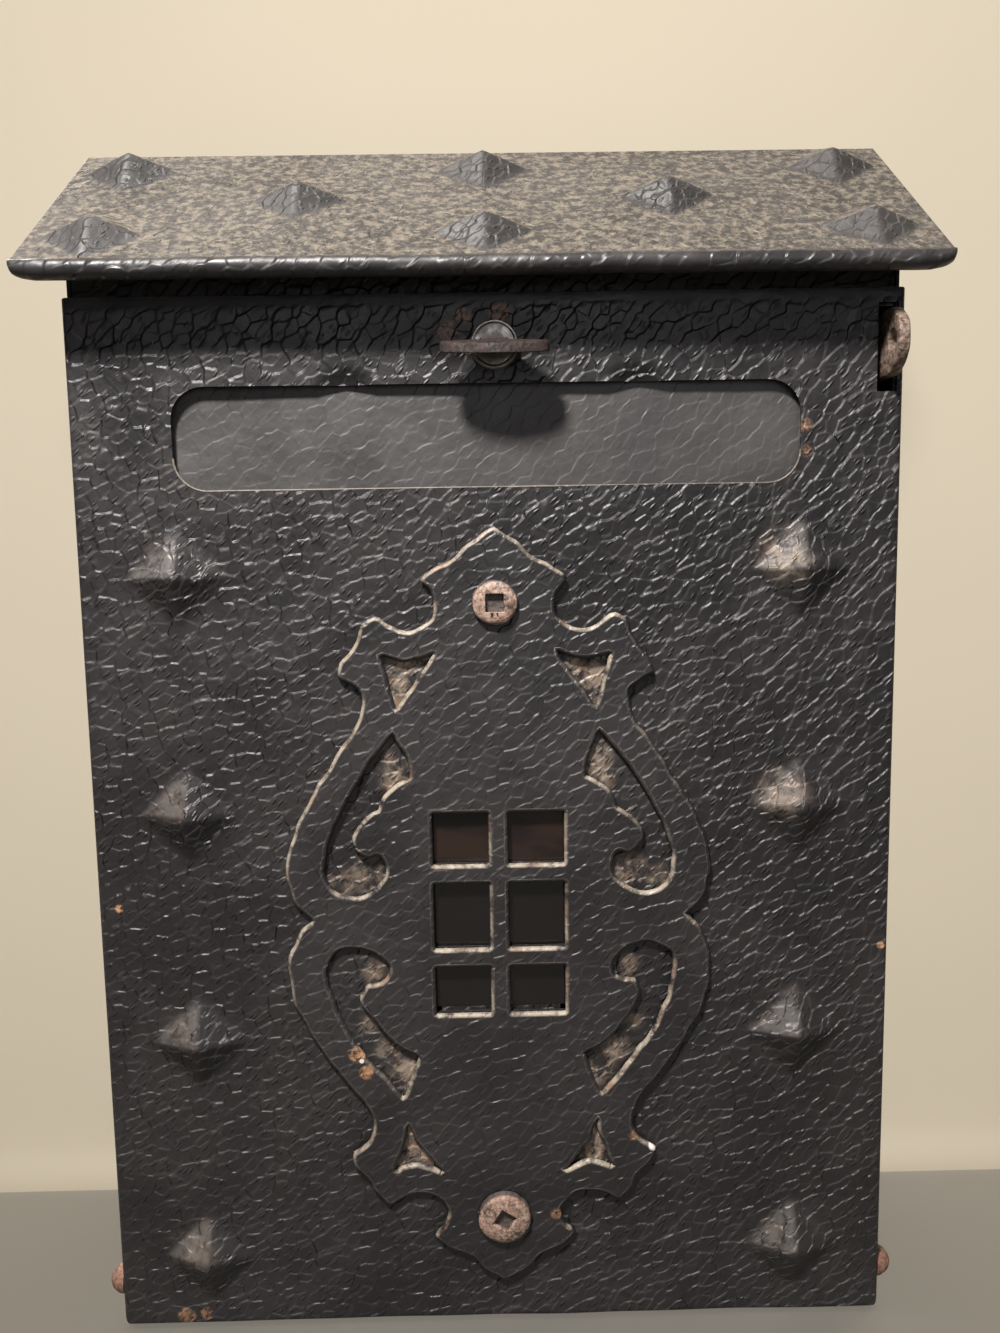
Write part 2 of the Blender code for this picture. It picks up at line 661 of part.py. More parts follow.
def staple_rivet(name, y):
    inner = STAPLE_OUTER_X - STAPLE_THICKNESS - SEAT_GAP
    outer = BODY_HALF + SEAT_GAP
    head = STAPLE_RIVET_HEAD_HEIGHT
    profile = [(0.0, inner - head), (STAPLE_RIVET_HEAD * 0.7, inner - head * 0.8),
               (STAPLE_RIVET_HEAD, inner), (STAPLE_RIVET_RADIUS, inner),
               (STAPLE_RIVET_RADIUS, outer), (STAPLE_RIVET_HEAD, outer),
               (STAPLE_RIVET_HEAD * 0.7, outer + head * 0.8), (0.0, outer + head)]
    bm = bmesh.new()
    add_turned(bm, "X", (y, STAPLE_Z), profile, 12)
    return finish_mesh(bm, name, rusted_steel(), 40)


# Door

def hinge_rivet(name, side):
    """Domed rivet through the door's flange and the body's side."""
    inner = BODY_INNER - SEAT_GAP
    outer = DOOR_HALF + SEAT_GAP
    dome = [(PIVOT_HEAD_RADIUS * math.cos(turn), outer + PIVOT_HEAD_HEIGHT * math.sin(turn))
            for turn in (math.radians(step) for step in (0, 22, 45, 68))]
    profile = [(0.0, inner - PIVOT_TAIL_HEIGHT), (PIVOT_TAIL_RADIUS, inner - PIVOT_TAIL_HEIGHT),
               (PIVOT_TAIL_RADIUS, inner), (PIVOT_SHANK_RADIUS, inner), (PIVOT_SHANK_RADIUS, outer)]
    profile += dome + [(0.0, outer + PIVOT_HEAD_HEIGHT)]
    bm = bmesh.new()
    add_turned(bm, "X", (PIVOT_Y, PIVOT_Z), [(radius, side * along) for radius, along in profile], 16)
    return finish_mesh(bm, name, rusted_steel(), 40)


def door_bosses(bm, sink, lift):
    for x, z in door_boss_places():
        reach = BOSS_HALF_DIAGONAL * (BOSS_HEIGHT + sink + lift) / BOSS_HEIGHT
        y = FACE_Y + sink
        base = [(x + reach, y, z), (x, y, z + reach), (x - reach, y, z), (x, y, z - reach)]
        add_pyramid(bm, base, (x, FACE_Y - BOSS_HEIGHT - lift, z))


def slot_dimples(bm, base_y, apex_y, nominal_y):
    """Shallow cones that press the slot's upper edge inwards, full size at nominal_y."""
    share = (apex_y - base_y) / (apex_y - nominal_y)
    for side in (-1, 1):
        x = FITTINGS_OFFSET + side * DIMPLE_HALF_SPACING
        base = [(x + px * DIMPLE_HALF_WIDTH * share, base_y, SLOT_TOP + pz * DIMPLE_HEIGHT * share)
                for px, pz in circle((0, 0), 1.0, 20)]
        add_pyramid(bm, base, (x, apex_y, SLOT_TOP))


def door_flange_cut():
    """Side view of what is cut from the flanges' lower ends, so that they clear the shelf."""
    rear = FACE_Y + DOOR_FLANGE
    turn = []
    for step in range(9):
        angle = math.radians(-90 + 90 * step / 8)
        turn.append((PIVOT_Y + (rear - PIVOT_Y) * math.cos(angle), PIVOT_Z + PIVOT_ABOVE_EDGE * math.sin(angle)))
    return turn + [(rear + 5, PIVOT_Z), (rear + 5, DOOR_BOTTOM - 5), (PIVOT_Y, DOOR_BOTTOM - 5)]


def front_door():
    bm = bmesh.new()
    corner = DOOR_CORNER_RADIUS
    outline = arc((DOOR_HALF - corner, DOOR_BOTTOM + corner), corner, -90, 0, 3)
    outline += [(DOOR_HALF, DOOR_TOP), (-DOOR_HALF, DOOR_TOP)]
    outline += arc((-DOOR_HALF + corner, DOOR_BOTTOM + corner), corner, 180, 270, 3)
    add_prism(bm, "Y", outline, FACE_Y, FACE_Y + DOOR_FLANGE)
    door = finish_mesh(bm, "front_door", black_paint())

    bm = bmesh.new()
    inner = DOOR_HALF - SHEET
    add_box(bm, (-inner, inner), (DOOR_BACK_Y, FACE_Y + DOOR_FLANGE + 5), (-10.0, DOOR_TOP + 5))
    combine(door, guide(bm, "door_hollow"), "DIFFERENCE")

    bm = bmesh.new()
    door_bosses(bm, SHEET / 2, 0.0)
    slot_dimples(bm, DOOR_BACK_Y - 0.3, DOOR_BACK_Y + DIMPLE_DEPTH, DOOR_BACK_Y)
    combine(door, guide(bm, "door_pressings"), "UNION")

    bm = bmesh.new()
    door_bosses(bm, SHEET + 2, -SHEET * 1.1)
    slot_dimples(bm, FACE_Y - 1.0, FACE_Y + DIMPLE_DEPTH, FACE_Y)
    combine(door, guide(bm, "door_pressing_hollows"), "DIFFERENCE")

    bm = bmesh.new()
    reach = (FACE_Y - 12, FACE_Y + 12)
    slot = rounded_rectangle((-SLOT_WIDTH / 2, SLOT_WIDTH / 2), (SLOT_BOTTOM, SLOT_TOP), SLOT_RADIUS)
    add_prism(bm, "Y", slot, *reach)
    for x, z in window_boxes():
        add_box(bm, x, reach, z)
    slot_right = DOOR_HALF - STAPLE_SLOT_EDGE_INSET
    slot_top = DOOR_TOP - STAPLE_SLOT_BELOW_TOP
    add_box(bm, (slot_right - STAPLE_SLOT_WIDTH, slot_right), (FACE_Y - 3, FACE_Y + 3),
            (slot_top - STAPLE_SLOT_HEIGHT, slot_top))
    for screw in (UPPER_SCREW, LOWER_SCREW):
        add_cylinder(bm, "Y", plate_place((0.0, screw["height"])), SCREW_HOLE_RADIUS, *reach, 16)
    add_cylinder(bm, "Y", (LOCK_OFFSET, LOCK_Z), BARREL_BODY_RADIUS + SEAT_GAP, *reach, 24)
    combine(door, guide(bm, "door_openings"), "DIFFERENCE")

    bm = bmesh.new()
    add_prism(bm, "X", door_flange_cut(), -DOOR_HALF - 5, DOOR_HALF + 5)
    for side in (-1, 1):
        span = sorted((side * (DOOR_HALF - 5), side * (DOOR_HALF + 5)))
        add_cylinder(bm, "X", (PIVOT_Y, PIVOT_Z), PIVOT_SHANK_RADIUS + SEAT_GAP, *span, 16)
    combine(door, guide(bm, "door_flange_cuts"), "DIFFERENCE")
    return door


# Ornament plate and its screws

def ornament_plate():
    bm = bmesh.new()
    add_prism(bm, "Y", plate_outline(), PLATE_FACE_Y, PLATE_BACK_Y)
    plate = finish_mesh(bm, "ornament_plate", black_paint())
    bm = bmesh.new()
    reach = (PLATE_FACE_Y - 3, PLATE_BACK_Y + 3)
    for side in (-1, 1):
        for runs in (UPPER_TRIANGLE_RUNS, UPPER_SCROLL_RUNS, LOWER_SCROLL_RUNS, LOWER_TRIANGLE_RUNS):
            add_prism(bm, "Y", pierced_outline(runs, side), *reach)
    for x, z in window_boxes():
        add_box(bm, x, reach, z)
    for screw in (UPPER_SCREW, LOWER_SCREW):
        add_cylinder(bm, "Y", plate_place((0.0, screw["height"])), SCREW_HOLE_RADIUS, *reach, 16)
    combine(plate, guide(bm, "plate_openings"), "DIFFERENCE")
    return plate


def plate_screw(name, screw, recess_turn):
    """Flat domed head with a square recess, and a shank through plate and door."""
    x, z = plate_place((0.0, screw["height"]))
    radius = screw["head_radius"]
    seat = PLATE_FACE_Y - SEAT_GAP
    crown = seat - SCREW_HEAD_HEIGHT
    end = DOOR_BACK_Y + SEAT_GAP + NUT_THICKNESS + SCREW_PROUD
    profile = [(0.0, crown), (radius * 0.62, crown), (radius * 0.86, crown + 0.6),
               (radius, crown + 1.6), (radius, seat), (SCREW_SHANK_RADIUS, seat),
               (SCREW_SHANK_RADIUS, end), (0.0, end)]
    bm = bmesh.new()
    add_turned(bm, "Y", (x, z), profile, 28)
    item = finish_mesh(bm, name, rusted_steel(), 40)
    bm = bmesh.new()
    corners = circle((x, z), SCREW_RECESS / math.sqrt(2), 4, math.radians(recess_turn))
    add_prism(bm, "Y", corners, crown - 2, crown + SCREW_RECESS_DEPTH)
    combine(item, guide(bm, name + "_recess"), "DIFFERENCE")
    return item


def hex_nut(name, centre, radius, hole, low, high):
    bm = bmesh.new()
    add_prism(bm, "Y", circle(centre, radius, 6), low, high)
    item = finish_mesh(bm, name, rusted_steel())
    bm = bmesh.new()
    add_cylinder(bm, "Y", centre, hole, low - 2, high + 2, 16)
    combine(item, guide(bm, name + "_hole"), "DIFFERENCE")
    return item


def plate_nut(name, screw):
    seat = DOOR_BACK_Y + SEAT_GAP
    return hex_nut(name, plate_place((0.0, screw["height"])), NUT_RADIUS,
                   SCREW_SHANK_RADIUS + SEAT_GAP, seat, seat + NUT_THICKNESS)


# Window pane and clips

def pane_spans():
    boxes = window_boxes()
    low_x = min(x[0] for x, z in boxes) - PANE_SIDE_OVERLAP
    high_x = max(x[1] for x, z in boxes) + PANE_SIDE_OVERLAP
    low_z = min(z[0] for x, z in boxes) + PANE_BOTTOM_SHORT
    high_z = max(z[1] for x, z in boxes) + PANE_TOP_OVERLAP
    return (low_x, high_x), (low_z, high_z)


def window_pane():
    x, z = pane_spans()
    bm = bmesh.new()
    front = DOOR_BACK_Y + SEAT_GAP
    add_box(bm, x, (front, front + PANE_THICKNESS), z)
    return finish_mesh(bm, "window_pane", glass())


def joggled_strip(name, edge, lip, foot, axis, span):
    """Folded clip: a foot on the door, a step past the pane's edge and a lip behind the pane."""
    front = DOOR_BACK_Y + SEAT_GAP
    behind = front + PANE_THICKNESS + SEAT_GAP
    way = 1 if foot > edge else -1
    near = edge + way * SEAT_GAP
    outline = [(lip, behind), (near, behind), (near, front), (foot, front), (foot, front + CLIP_SHEET),
               (near + way * CLIP_SHEET, front + CLIP_SHEET),
               (near + way * CLIP_SHEET, behind + CLIP_SHEET), (lip, behind + CLIP_SHEET)]
    bm = bmesh.new()
    if axis == "Z":
        add_prism(bm, "Z", outline, *span)
    else:
        add_prism(bm, "X", [(y, z) for z, y in outline], *span)
    return finish_mesh(bm, name, black_paint())


def pane_clips():
    x, z = pane_spans()
    left = joggled_strip("pane_clip_left", x[0], x[0] + CLIP_LIP, x[0] - CLIP_FOOT, "Z", z)
    right = joggled_strip("pane_clip_right", x[1], x[1] - CLIP_LIP, x[1] + CLIP_FOOT, "Z", z)
    half = BOTTOM_CLIP_LENGTH / 2
    bottom = joggled_strip("pane_clip_bottom", z[0], z[0] + CLIP_LIP, z[0] - CLIP_FOOT, "X",
                           (FITTINGS_OFFSET - half, FITTINGS_OFFSET + half))
    return [left, right, bottom]


# Letter flap

def flap_tab_places():
    return [FITTINGS_OFFSET - DIMPLE_HALF_SPACING, FITTINGS_OFFSET + DIMPLE_HALF_SPACING]


def letter_flap():
    half = SLOT_WIDTH / 2 + FLAP_SIDE_OVERLAP
    low = SLOT_BOTTOM - FLAP_OVERLAP
    top = SLOT_TOP + 1.0
    tab = FLAP_TAB_WIDTH / 2
    left, right = flap_tab_places()
    tab_top = FLAP_PIN_Z
    outline = [(-half, low), (half, low), (half, top), (right + tab, top), (right + tab, tab_top),
               (right - tab, tab_top), (right - tab, top), (left + tab, top), (left + tab, tab_top),
               (left - tab, tab_top), (left - tab, top), (-half, top)]
    bm = bmesh.new()
    add_prism(bm, "Y", outline, FLAP_Y, FLAP_Y + FLAP_SHEET)
    flap = finish_mesh(bm, "letter_flap", black_paint())
    bore = FLAP_PIN_RADIUS + SEAT_GAP
    bm = bmesh.new()
    for x in (left, right):
        add_cylinder(bm, "X", (FLAP_PIN_Y, FLAP_PIN_Z), bore + KNUCKLE_WALL, x - tab, x + tab, 16)
    combine(flap, guide(bm, "flap_knuckles"), "UNION")
    bm = bmesh.new()
    for x in (left, right):
        add_cylinder(bm, "X", (FLAP_PIN_Y, FLAP_PIN_Z), bore, x - tab - 2, x + tab + 2, 16)
    combine(flap, guide(bm, "flap_bores"), "DIFFERENCE")
    return flap


def bracket_ear_spans(x):
    inner = FLAP_TAB_WIDTH / 2 + RUNNING_GAP
    outer = inner + BRACKET_SHEET
    return [(x - outer, x - inner), (x + inner, x + outer)]


def flap_bracket(name, x):
    """Two ears that hold a flap pin, on feet that are welded to the door's back."""
    front = DOOR_BACK_Y + SEAT_GAP
    bore = FLAP_PIN_RADIUS + SEAT_GAP
    rear = FLAP_PIN_Y + bore + BRACKET_SHEET
    top = FLAP_PIN_Z + BRACKET_HEIGHT - 4
    low = FLAP_PIN_Z - bore - BRACKET_SHEET
    bridge = FLAP_PIN_Z + bore + KNUCKLE_WALL + RUNNING_GAP
    bm = bmesh.new()
    (left_outer, left_inner), (right_inner, right_outer) = bracket_ear_spans(x)
    add_box(bm, (left_outer - BRACKET_FOOT_WIDTH, right_outer + BRACKET_FOOT_WIDTH),
            (front, rear), (low, top))
    item = finish_mesh(bm, name, black_paint())
    bm = bmesh.new()
    wall = front + BRACKET_SHEET
    for x_span in ((left_inner, right_inner), (left_outer - BRACKET_FOOT_WIDTH - 3, left_outer),
                   (right_outer, right_outer + BRACKET_FOOT_WIDTH + 3)):
        fold = [(front - 3, low - 3), (rear + 3, low - 3), (rear + 3, top + 3), (wall, top + 3),
                (wall, bridge), (front - 3, bridge)]
        add_prism(bm, "X", fold, *x_span)
    combine(item, guide(bm, name + "_folds"), "DIFFERENCE")
    bm = bmesh.new()
    add_cylinder(bm, "X", (FLAP_PIN_Y, FLAP_PIN_Z), bore, left_outer - 3, right_outer + 3, 12)
    combine(item, guide(bm, name + "_bore"), "DIFFERENCE")
    return item


def flap_pin(name, x):
    (left_outer, _), (_, right_outer) = bracket_ear_spans(x)
    head = FLAP_PIN_RADIUS * 1.7
    low = left_outer - SEAT_GAP
    high = right_outer + SEAT_GAP
    profile = [(0.0, low - 1.0), (head, low - 0.8), (head, low), (FLAP_PIN_RADIUS, low),
               (FLAP_PIN_RADIUS, high), (head, high), (head, high + 0.8), (0.0, high + 1.0)]
    bm = bmesh.new()
    add_turned(bm, "X", (FLAP_PIN_Y, FLAP_PIN_Z), profile, 12)
    return finish_mesh(bm, name, zinc(), 40)


# Lock

def lock_barrel():
    centre = (LOCK_OFFSET, LOCK_Z)
    seat = FACE_Y - SEAT_GAP
    front = seat - BARREL_FLANGE_HEIGHT
    back = FACE_Y + BARREL_BACK
    counterbore = PLUG_HEAD_RADIUS + SEAT_GAP
    bore = PLUG_SHANK_RADIUS + SEAT_GAP
    floor_y = front + PLUG_HEAD_DEPTH
    profile = [(bore, floor_y), (counterbore, floor_y), (counterbore, front),
               (BARREL_FLANGE_RADIUS - 0.4, front), (BARREL_FLANGE_RADIUS, front + 0.5),
               (BARREL_FLANGE_RADIUS, seat), (BARREL_BODY_RADIUS, seat), (BARREL_BODY_RADIUS, back),
               (bore, back), (bore, floor_y)]
    bm = bmesh.new()
    add_turned(bm, "Y", centre, profile, 32)
    bmesh.ops.remove_doubles(bm, verts=bm.verts, dist=0.0001)
    return finish_mesh(bm, "lock_barrel", zinc(), 40)


def lock_plug():
    centre = (LOCK_OFFSET, LOCK_Z)
    front = FACE_Y - SEAT_GAP - BARREL_FLANGE_HEIGHT - 0.3
    shoulder = FACE_Y - SEAT_GAP - BARREL_FLANGE_HEIGHT + PLUG_HEAD_DEPTH - SEAT_GAP
    back = FACE_Y + BARREL_BACK
    profile = [(0.0, front), (PLUG_HEAD_RADIUS - 0.3, front), (PLUG_HEAD_RADIUS, front + 0.3),
               (PLUG_HEAD_RADIUS, shoulder), (PLUG_SHANK_RADIUS, shoulder),
               (PLUG_SHANK_RADIUS, back), (0.0, back)]
    bm = bmesh.new()
    add_turned(bm, "Y", centre, profile, 28)
    plug = finish_mesh(bm, "lock_plug", zinc(), 40)
    bm = bmesh.new()
    add_box(bm, (LOCK_OFFSET - KEYWAY_WIDTH / 2, LOCK_OFFSET + KEYWAY_WIDTH / 2),
            (front - 3, front + KEYWAY_DEPTH), (LOCK_Z - KEYWAY_HEIGHT / 2, LOCK_Z + KEYWAY_HEIGHT / 2))
    add_cylinder(bm, "Y", centre, CAM_SCREW_RADIUS + SEAT_GAP, back - CAM_SCREW_LENGTH, back + 3, 12)
    combine(plug, guide(bm, "plug_recesses"), "DIFFERENCE")
    return plug


def lock_wing():
    """Oval flat wing on a narrow stem. It droops a little from its root in the plug."""
    seat_y = FACE_Y - SEAT_GAP - BARREL_FLANGE_HEIGHT - 0.3 + KEYWAY_DEPTH - SEAT_GAP
    root_x = KEYWAY_WIDTH / 2 - SEAT_GAP
    root_z = KEYWAY_HEIGHT / 2 - SEAT_GAP
    bm = bmesh.new()
    add_box(bm, (LOCK_OFFSET - root_x, LOCK_OFFSET + root_x), (seat_y - 3.0, seat_y),
            (LOCK_Z - root_z, LOCK_Z + root_z))
    wing = finish_mesh(bm, "lock_wing", rusted_steel(), 40)

    middle = -WING_REACH + WING_BOW_DEPTH / 2
    stem = WING_STEM_WIDTH / 2
    outline = [(stem, -1.4), (-stem, -1.4)]
    for index in range(25):
        turn = math.radians(150 + 240 * index / 24)
        outline.append((WING_WIDTH / 2 * math.cos(turn), middle + WING_BOW_DEPTH / 2 * math.sin(turn)))
    droop = math.radians(WING_DROOP)
    half = WING_THICKNESS / 2
    bm = bmesh.new()
    layers = []
    for lift in (-half, half):
        layers.append([bm.verts.new((LOCK_OFFSET + x,
                                     seat_y + out * math.cos(droop) + lift * math.sin(droop),
                                     LOCK_Z + out * math.sin(droop) + lift * math.cos(droop)))
                       for x, out in outline])
    low, high = layers
    bm.faces.new(low)
    bm.faces.new(high)
    for index in range(len(outline)):
        after = (index + 1) % len(outline)
        bm.faces.new((low[index], low[after], high[after], high[index]))
    combine(wing, guide(bm, "wing_bow"), "UNION")
    return wing


def lock_cam():
    """Catch behind the door. It lies level at rest and turns up behind the rail."""
    hub = arc((LOCK_OFFSET, LOCK_Z), CAM_HUB_RADIUS, -60, 60, 8)
    tip = LOCK_OFFSET - CAM_LENGTH
    half = CAM_HUB_RADIUS * math.sin(math.radians(60))
    outline = hub + [(tip, LOCK_Z + half), (tip, LOCK_Z - half)]
    front = FACE_Y + BARREL_BACK + SEAT_GAP
    bm = bmesh.new()
    add_prism(bm, "Y", outline, front, front + CAM_THICKNESS)
    cam = finish_mesh(bm, "lock_cam", zinc())
    bm = bmesh.new()
    add_cylinder(bm, "Y", (LOCK_OFFSET, LOCK_Z), CAM_SCREW_RADIUS + SEAT_GAP, front - 2,
                 front + CAM_THICKNESS + 2, 12)
    combine(cam, guide(bm, "cam_hole"), "DIFFERENCE")
    return cam


def cam_screw():
    seat = FACE_Y + BARREL_BACK + SEAT_GAP + CAM_THICKNESS + SEAT_GAP
    end = FACE_Y + BARREL_BACK - CAM_SCREW_LENGTH + SEAT_GAP
    crown = seat + CAM_SCREW_HEAD_HEIGHT
    profile = [(0.0, end), (CAM_SCREW_RADIUS, end), (CAM_SCREW_RADIUS, seat),
               (CAM_SCREW_HEAD_RADIUS, seat), (CAM_SCREW_HEAD_RADIUS, crown - 0.9),
               (CAM_SCREW_HEAD_RADIUS * 0.6, crown), (0.0, crown)]
    bm = bmesh.new()
    add_turned(bm, "Y", (LOCK_OFFSET, LOCK_Z), profile, 16)
    return finish_mesh(bm, "cam_screw", zinc(), 40)


def lock_nut():
    seat = DOOR_BACK_Y + SEAT_GAP
    return hex_nut("lock_nut", (LOCK_OFFSET, LOCK_Z), LOCK_NUT_RADIUS,
                   BARREL_BODY_RADIUS + SEAT_GAP, seat, seat + LOCK_NUT_THICKNESS)


def build():
    clear_scene()
    body_shell()
    body_floor()
    front_rail()
    roof()
    padlock_staple()
    front_y, rear_y = staple_rivet_places()
    staple_rivet("staple_rivet_front", front_y)
    staple_rivet("staple_rivet_rear", rear_y)
    hinge_rivet("hinge_rivet_left", -1)
    hinge_rivet("hinge_rivet_right", 1)

    left, right = flap_tab_places()
    door_pieces = [
        front_door(),
        ornament_plate(),
        plate_screw("plate_screw_upper", UPPER_SCREW, 45),
        plate_screw("plate_screw_lower", LOWER_SCREW, 12),
        plate_nut("plate_nut_upper", UPPER_SCREW),
        plate_nut("plate_nut_lower", LOWER_SCREW),
        window_pane(),
        flap_bracket("flap_bracket_left", left),
        flap_bracket("flap_bracket_right", right),
        flap_pin("flap_pin_left", left),
        flap_pin("flap_pin_right", right),
        lock_barrel(),
        lock_nut(),
    ]
    door_pieces += pane_clips()
    lock_pieces = [lock_plug(), lock_wing(), lock_cam(), cam_screw()]
    flap_pieces = [letter_flap()]
    door_pivot = pivot_empty("door_hinge_axis", (0.0, PIVOT_Y, PIVOT_Z))
    flap_pivot = pivot_empty("flap_hinge_axis", (0.0, FLAP_PIN_Y, FLAP_PIN_Z))
    lock_pivot = pivot_empty("lock_turn_axis", (LOCK_OFFSET, FACE_Y, LOCK_Z))
    hang(flap_pieces, flap_pivot)
    hang(lock_pieces, lock_pivot)
    hang(door_pieces + [flap_pivot, lock_pivot], door_pivot)


build()
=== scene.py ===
import math
import random

import bmesh
import bpy
import numpy as np
from mathutils import Matrix, Vector


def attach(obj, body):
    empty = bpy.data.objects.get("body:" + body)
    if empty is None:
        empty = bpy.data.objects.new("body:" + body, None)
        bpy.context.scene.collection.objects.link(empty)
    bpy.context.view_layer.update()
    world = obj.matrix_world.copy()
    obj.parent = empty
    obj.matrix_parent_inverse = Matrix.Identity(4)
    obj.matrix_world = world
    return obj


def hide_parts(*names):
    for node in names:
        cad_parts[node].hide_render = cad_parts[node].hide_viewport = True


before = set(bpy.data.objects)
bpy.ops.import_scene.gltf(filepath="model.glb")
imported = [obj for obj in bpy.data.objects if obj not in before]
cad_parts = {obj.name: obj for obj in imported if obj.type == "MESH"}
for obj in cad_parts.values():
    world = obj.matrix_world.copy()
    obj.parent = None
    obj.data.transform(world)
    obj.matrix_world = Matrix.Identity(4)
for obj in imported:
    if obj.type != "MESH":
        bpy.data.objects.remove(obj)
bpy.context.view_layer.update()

MM = 0.001

# Places taken over from the part, in millimetres
FACE_Y = -17.8
SHEET = 1.2
DOOR_HALF, DOOR_BOTTOM, DOOR_TOP = 144.9, 1.5, 382.3
PIVOT_Y, PIVOT_Z = -11.5, 16.5
PAN_DEPTH = 16.0
BOSS_RADIUS, BOSS_HEIGHT = 17.0, 7.0
BOSS_X, BOSS_TOP_Z, BOSS_STEP = 110.5, 286.0, 85.7
SLOT_X, SLOT_Z, SLOT_CORNER = 109.6, (316.3, 351.9), 11.5
TAB_X, TAB_HALF, TAB_TOP = (-49.4, 52.2), 8.3, 359.5
FLAP_HALF, FLAP_Z, FLAP_Y = 113.2, (311.9, 352.9), (-14.6, -13.8)
OFFSET = 1.4
PLATE_FACE, PLATE_BACK = -20.6, -18.1
PLATE_FOOT, SCREW_PROUD, RECESS = 17.3, 3.5, 6.4
LOCK_X, LOCK_Z = 2.8, 364.4
ROOF_HALF, ROOF_LEAN = 154.0, math.radians(39.9)
BEAD_Y, BEAD_Z, BEAD_RADIUS = -34.25, 386.55, 3.35
BACK_Y = 37.6
WINDOW_X = [(-23.95, -3.45), (3.45, 23.95)]
WINDOW_TOP, WINDOW_TALL, WINDOW_BAR = 183.0, (19.3, 24.7, 18.1), 6.9
STAPLE_X, STAPLE_Z, STAPLE_TIP, STAPLE_RADIUS = (137.9, 141.7), 363.1, -30.8, 11.3
STAPLE_SLOT_X, STAPLE_SLOT_Z = (135.7, 142.7), (347.1, 377.1)

# Hammer strokes: lean in radians, stretch along and across, size as a share of a facet
STROKE_LEAN = -0.80
FACET_STRETCH, STROKE_STRETCH, STROKE_SHARE = (1.15, 1.0, 0.90), (2.4, 1.0, 0.72), 0.52
# Finishes that several materials share, and the near-black of the painted shade in the door's dishes
WORN, DUST, FRESH_RUST = (0.012, 0.0115, 0.0125), (0.160, 0.136, 0.106), (0.40, 0.21, 0.11)
DISH_SHADE_TONE, FLECK = (0.003, 0.0027, 0.003), (0.80, 0.76, 0.70)


# Materials
class Shade:
    """Small helper that builds a node material."""

    def __init__(self, name):
        self.mat = bpy.data.materials.new(name)
        self.mat.use_nodes = True
        self.tree = self.mat.node_tree
        self.shader = self.tree.nodes["Principled BSDF"]
        self.place = self.add("ShaderNodeTexCoord").outputs["Object"]

    def add(self, kind, inputs=None, **props):
        node = self.tree.nodes.new(kind)
        for key, value in props.items():
            setattr(node, key, value)
        for key, value in (inputs or {}).items():
            self.feed(node.inputs[key], value)
        return node

    def feed(self, socket, value):
        """Links another node's output to the socket, or sets a plain value."""
        if isinstance(value, bpy.types.NodeSocket):
            self.tree.links.new(value, socket)
        else:
            socket.default_value = value

    def noise(self, scale, detail=3.0, rough=0.55, stretch=None):
        vector = self.place
        if stretch:
            vector = self.add("ShaderNodeMapping", {"Vector": vector, "Scale": stretch}).outputs[0]
        node = self.add("ShaderNodeTexNoise", {"Vector": vector, "Scale": scale, "Detail": detail,
                                               "Roughness": rough})
        return node.outputs["Fac"]

    def cells(self, scale, vector):
        """Distance to the nearest of many scattered points."""
        return self.add("ShaderNodeTexVoronoi", {"Vector": vector, "Scale": scale}).outputs["Distance"]

    def warp(self, amount, scale):
        """Place on the object, pushed about by up to half the amount, in metres."""
        shift = self.add("ShaderNodeTexNoise", {"Vector": self.place, "Scale": scale, "Detail": 1.0})
        centred = self.add("ShaderNodeVectorMath", {0: shift.outputs["Color"], 1: (0.5, 0.5, 0.5)},
                           operation="SUBTRACT")
        scaled = self.add("ShaderNodeVectorMath", {0: centred.outputs[0], "Scale": amount},
                          operation="SCALE")
        return self.add("ShaderNodeVectorMath", {0: self.place, 1: scaled.outputs[0]},
                        operation="ADD").outputs[0]

    def ramp(self, value, low, high, out_low=0.0, out_high=1.0):
        """Smooth step between two levels."""
        node = self.add("ShaderNodeMapRange", {"Value": value, "From Min": low, "From Max": high,
                                               "To Min": out_low, "To Max": out_high},
                        interpolation_type="SMOOTHSTEP")
        return node.outputs["Result"]

    def math(self, operation, first, second=0.0):
        return self.add("ShaderNodeMath", {0: first, 1: second}, operation=operation).outputs[0]

    def part_of(self, vector, axis):
        return self.add("ShaderNodeSeparateXYZ", {0: vector}).outputs[axis]

    def normal(self):
        return self.add("ShaderNodeNewGeometry").outputs["Normal"]

    def mix(self, factor, first, second):
        node = self.add("ShaderNodeMix", data_type="RGBA")
        self.feed(node.inputs[0], factor)
        for index, value in ((6, first), (7, second)):
            linked = isinstance(value, bpy.types.NodeSocket)
            self.feed(node.inputs[index], value if linked else (*value, 1.0))
        return node.outputs[2]

    def spot(self, centre, radius, edge=0.6):
        """Soft blot round a point in millimetres, with a ragged edge."""
        away = self.add("ShaderNodeVectorMath", {0: self.place, 1: [value * MM for value in centre]},
                        operation="DISTANCE").outputs["Value"]
        ragged = self.math("ADD", away, self.math("MULTIPLY", self.noise(380.0, 4.0), radius * MM * edge))
        return self.ramp(ragged, radius * MM * (0.7 + edge / 2), radius * MM * (1.15 + edge / 2), 1.0, 0.0)

    def attribute(self, name):
        return self.add("ShaderNodeAttribute", attribute_name=name).outputs["Fac"]

    def finish(self, colour, roughness, metallic, heights, specular=0.5):
        """heights is a list of (value, size in mm)."""
        shader = self.shader
        for socket, value in (("Base Color", colour), ("Roughness", roughness), ("Metallic", metallic),
                              ("Specular IOR Level", specular)):
            self.feed(shader.inputs[socket], value)
        normal = None
        for value, size in heights:
            node = self.add("ShaderNodeBump", {"Height": value, "Distance": size * MM, "Strength": 1.0})
            if normal:
                self.tree.links.new(normal, node.inputs["Normal"])
            normal = node.outputs[0]
        if normal:
            self.tree.links.new(normal, shader.inputs["Normal"])
        return self.mat


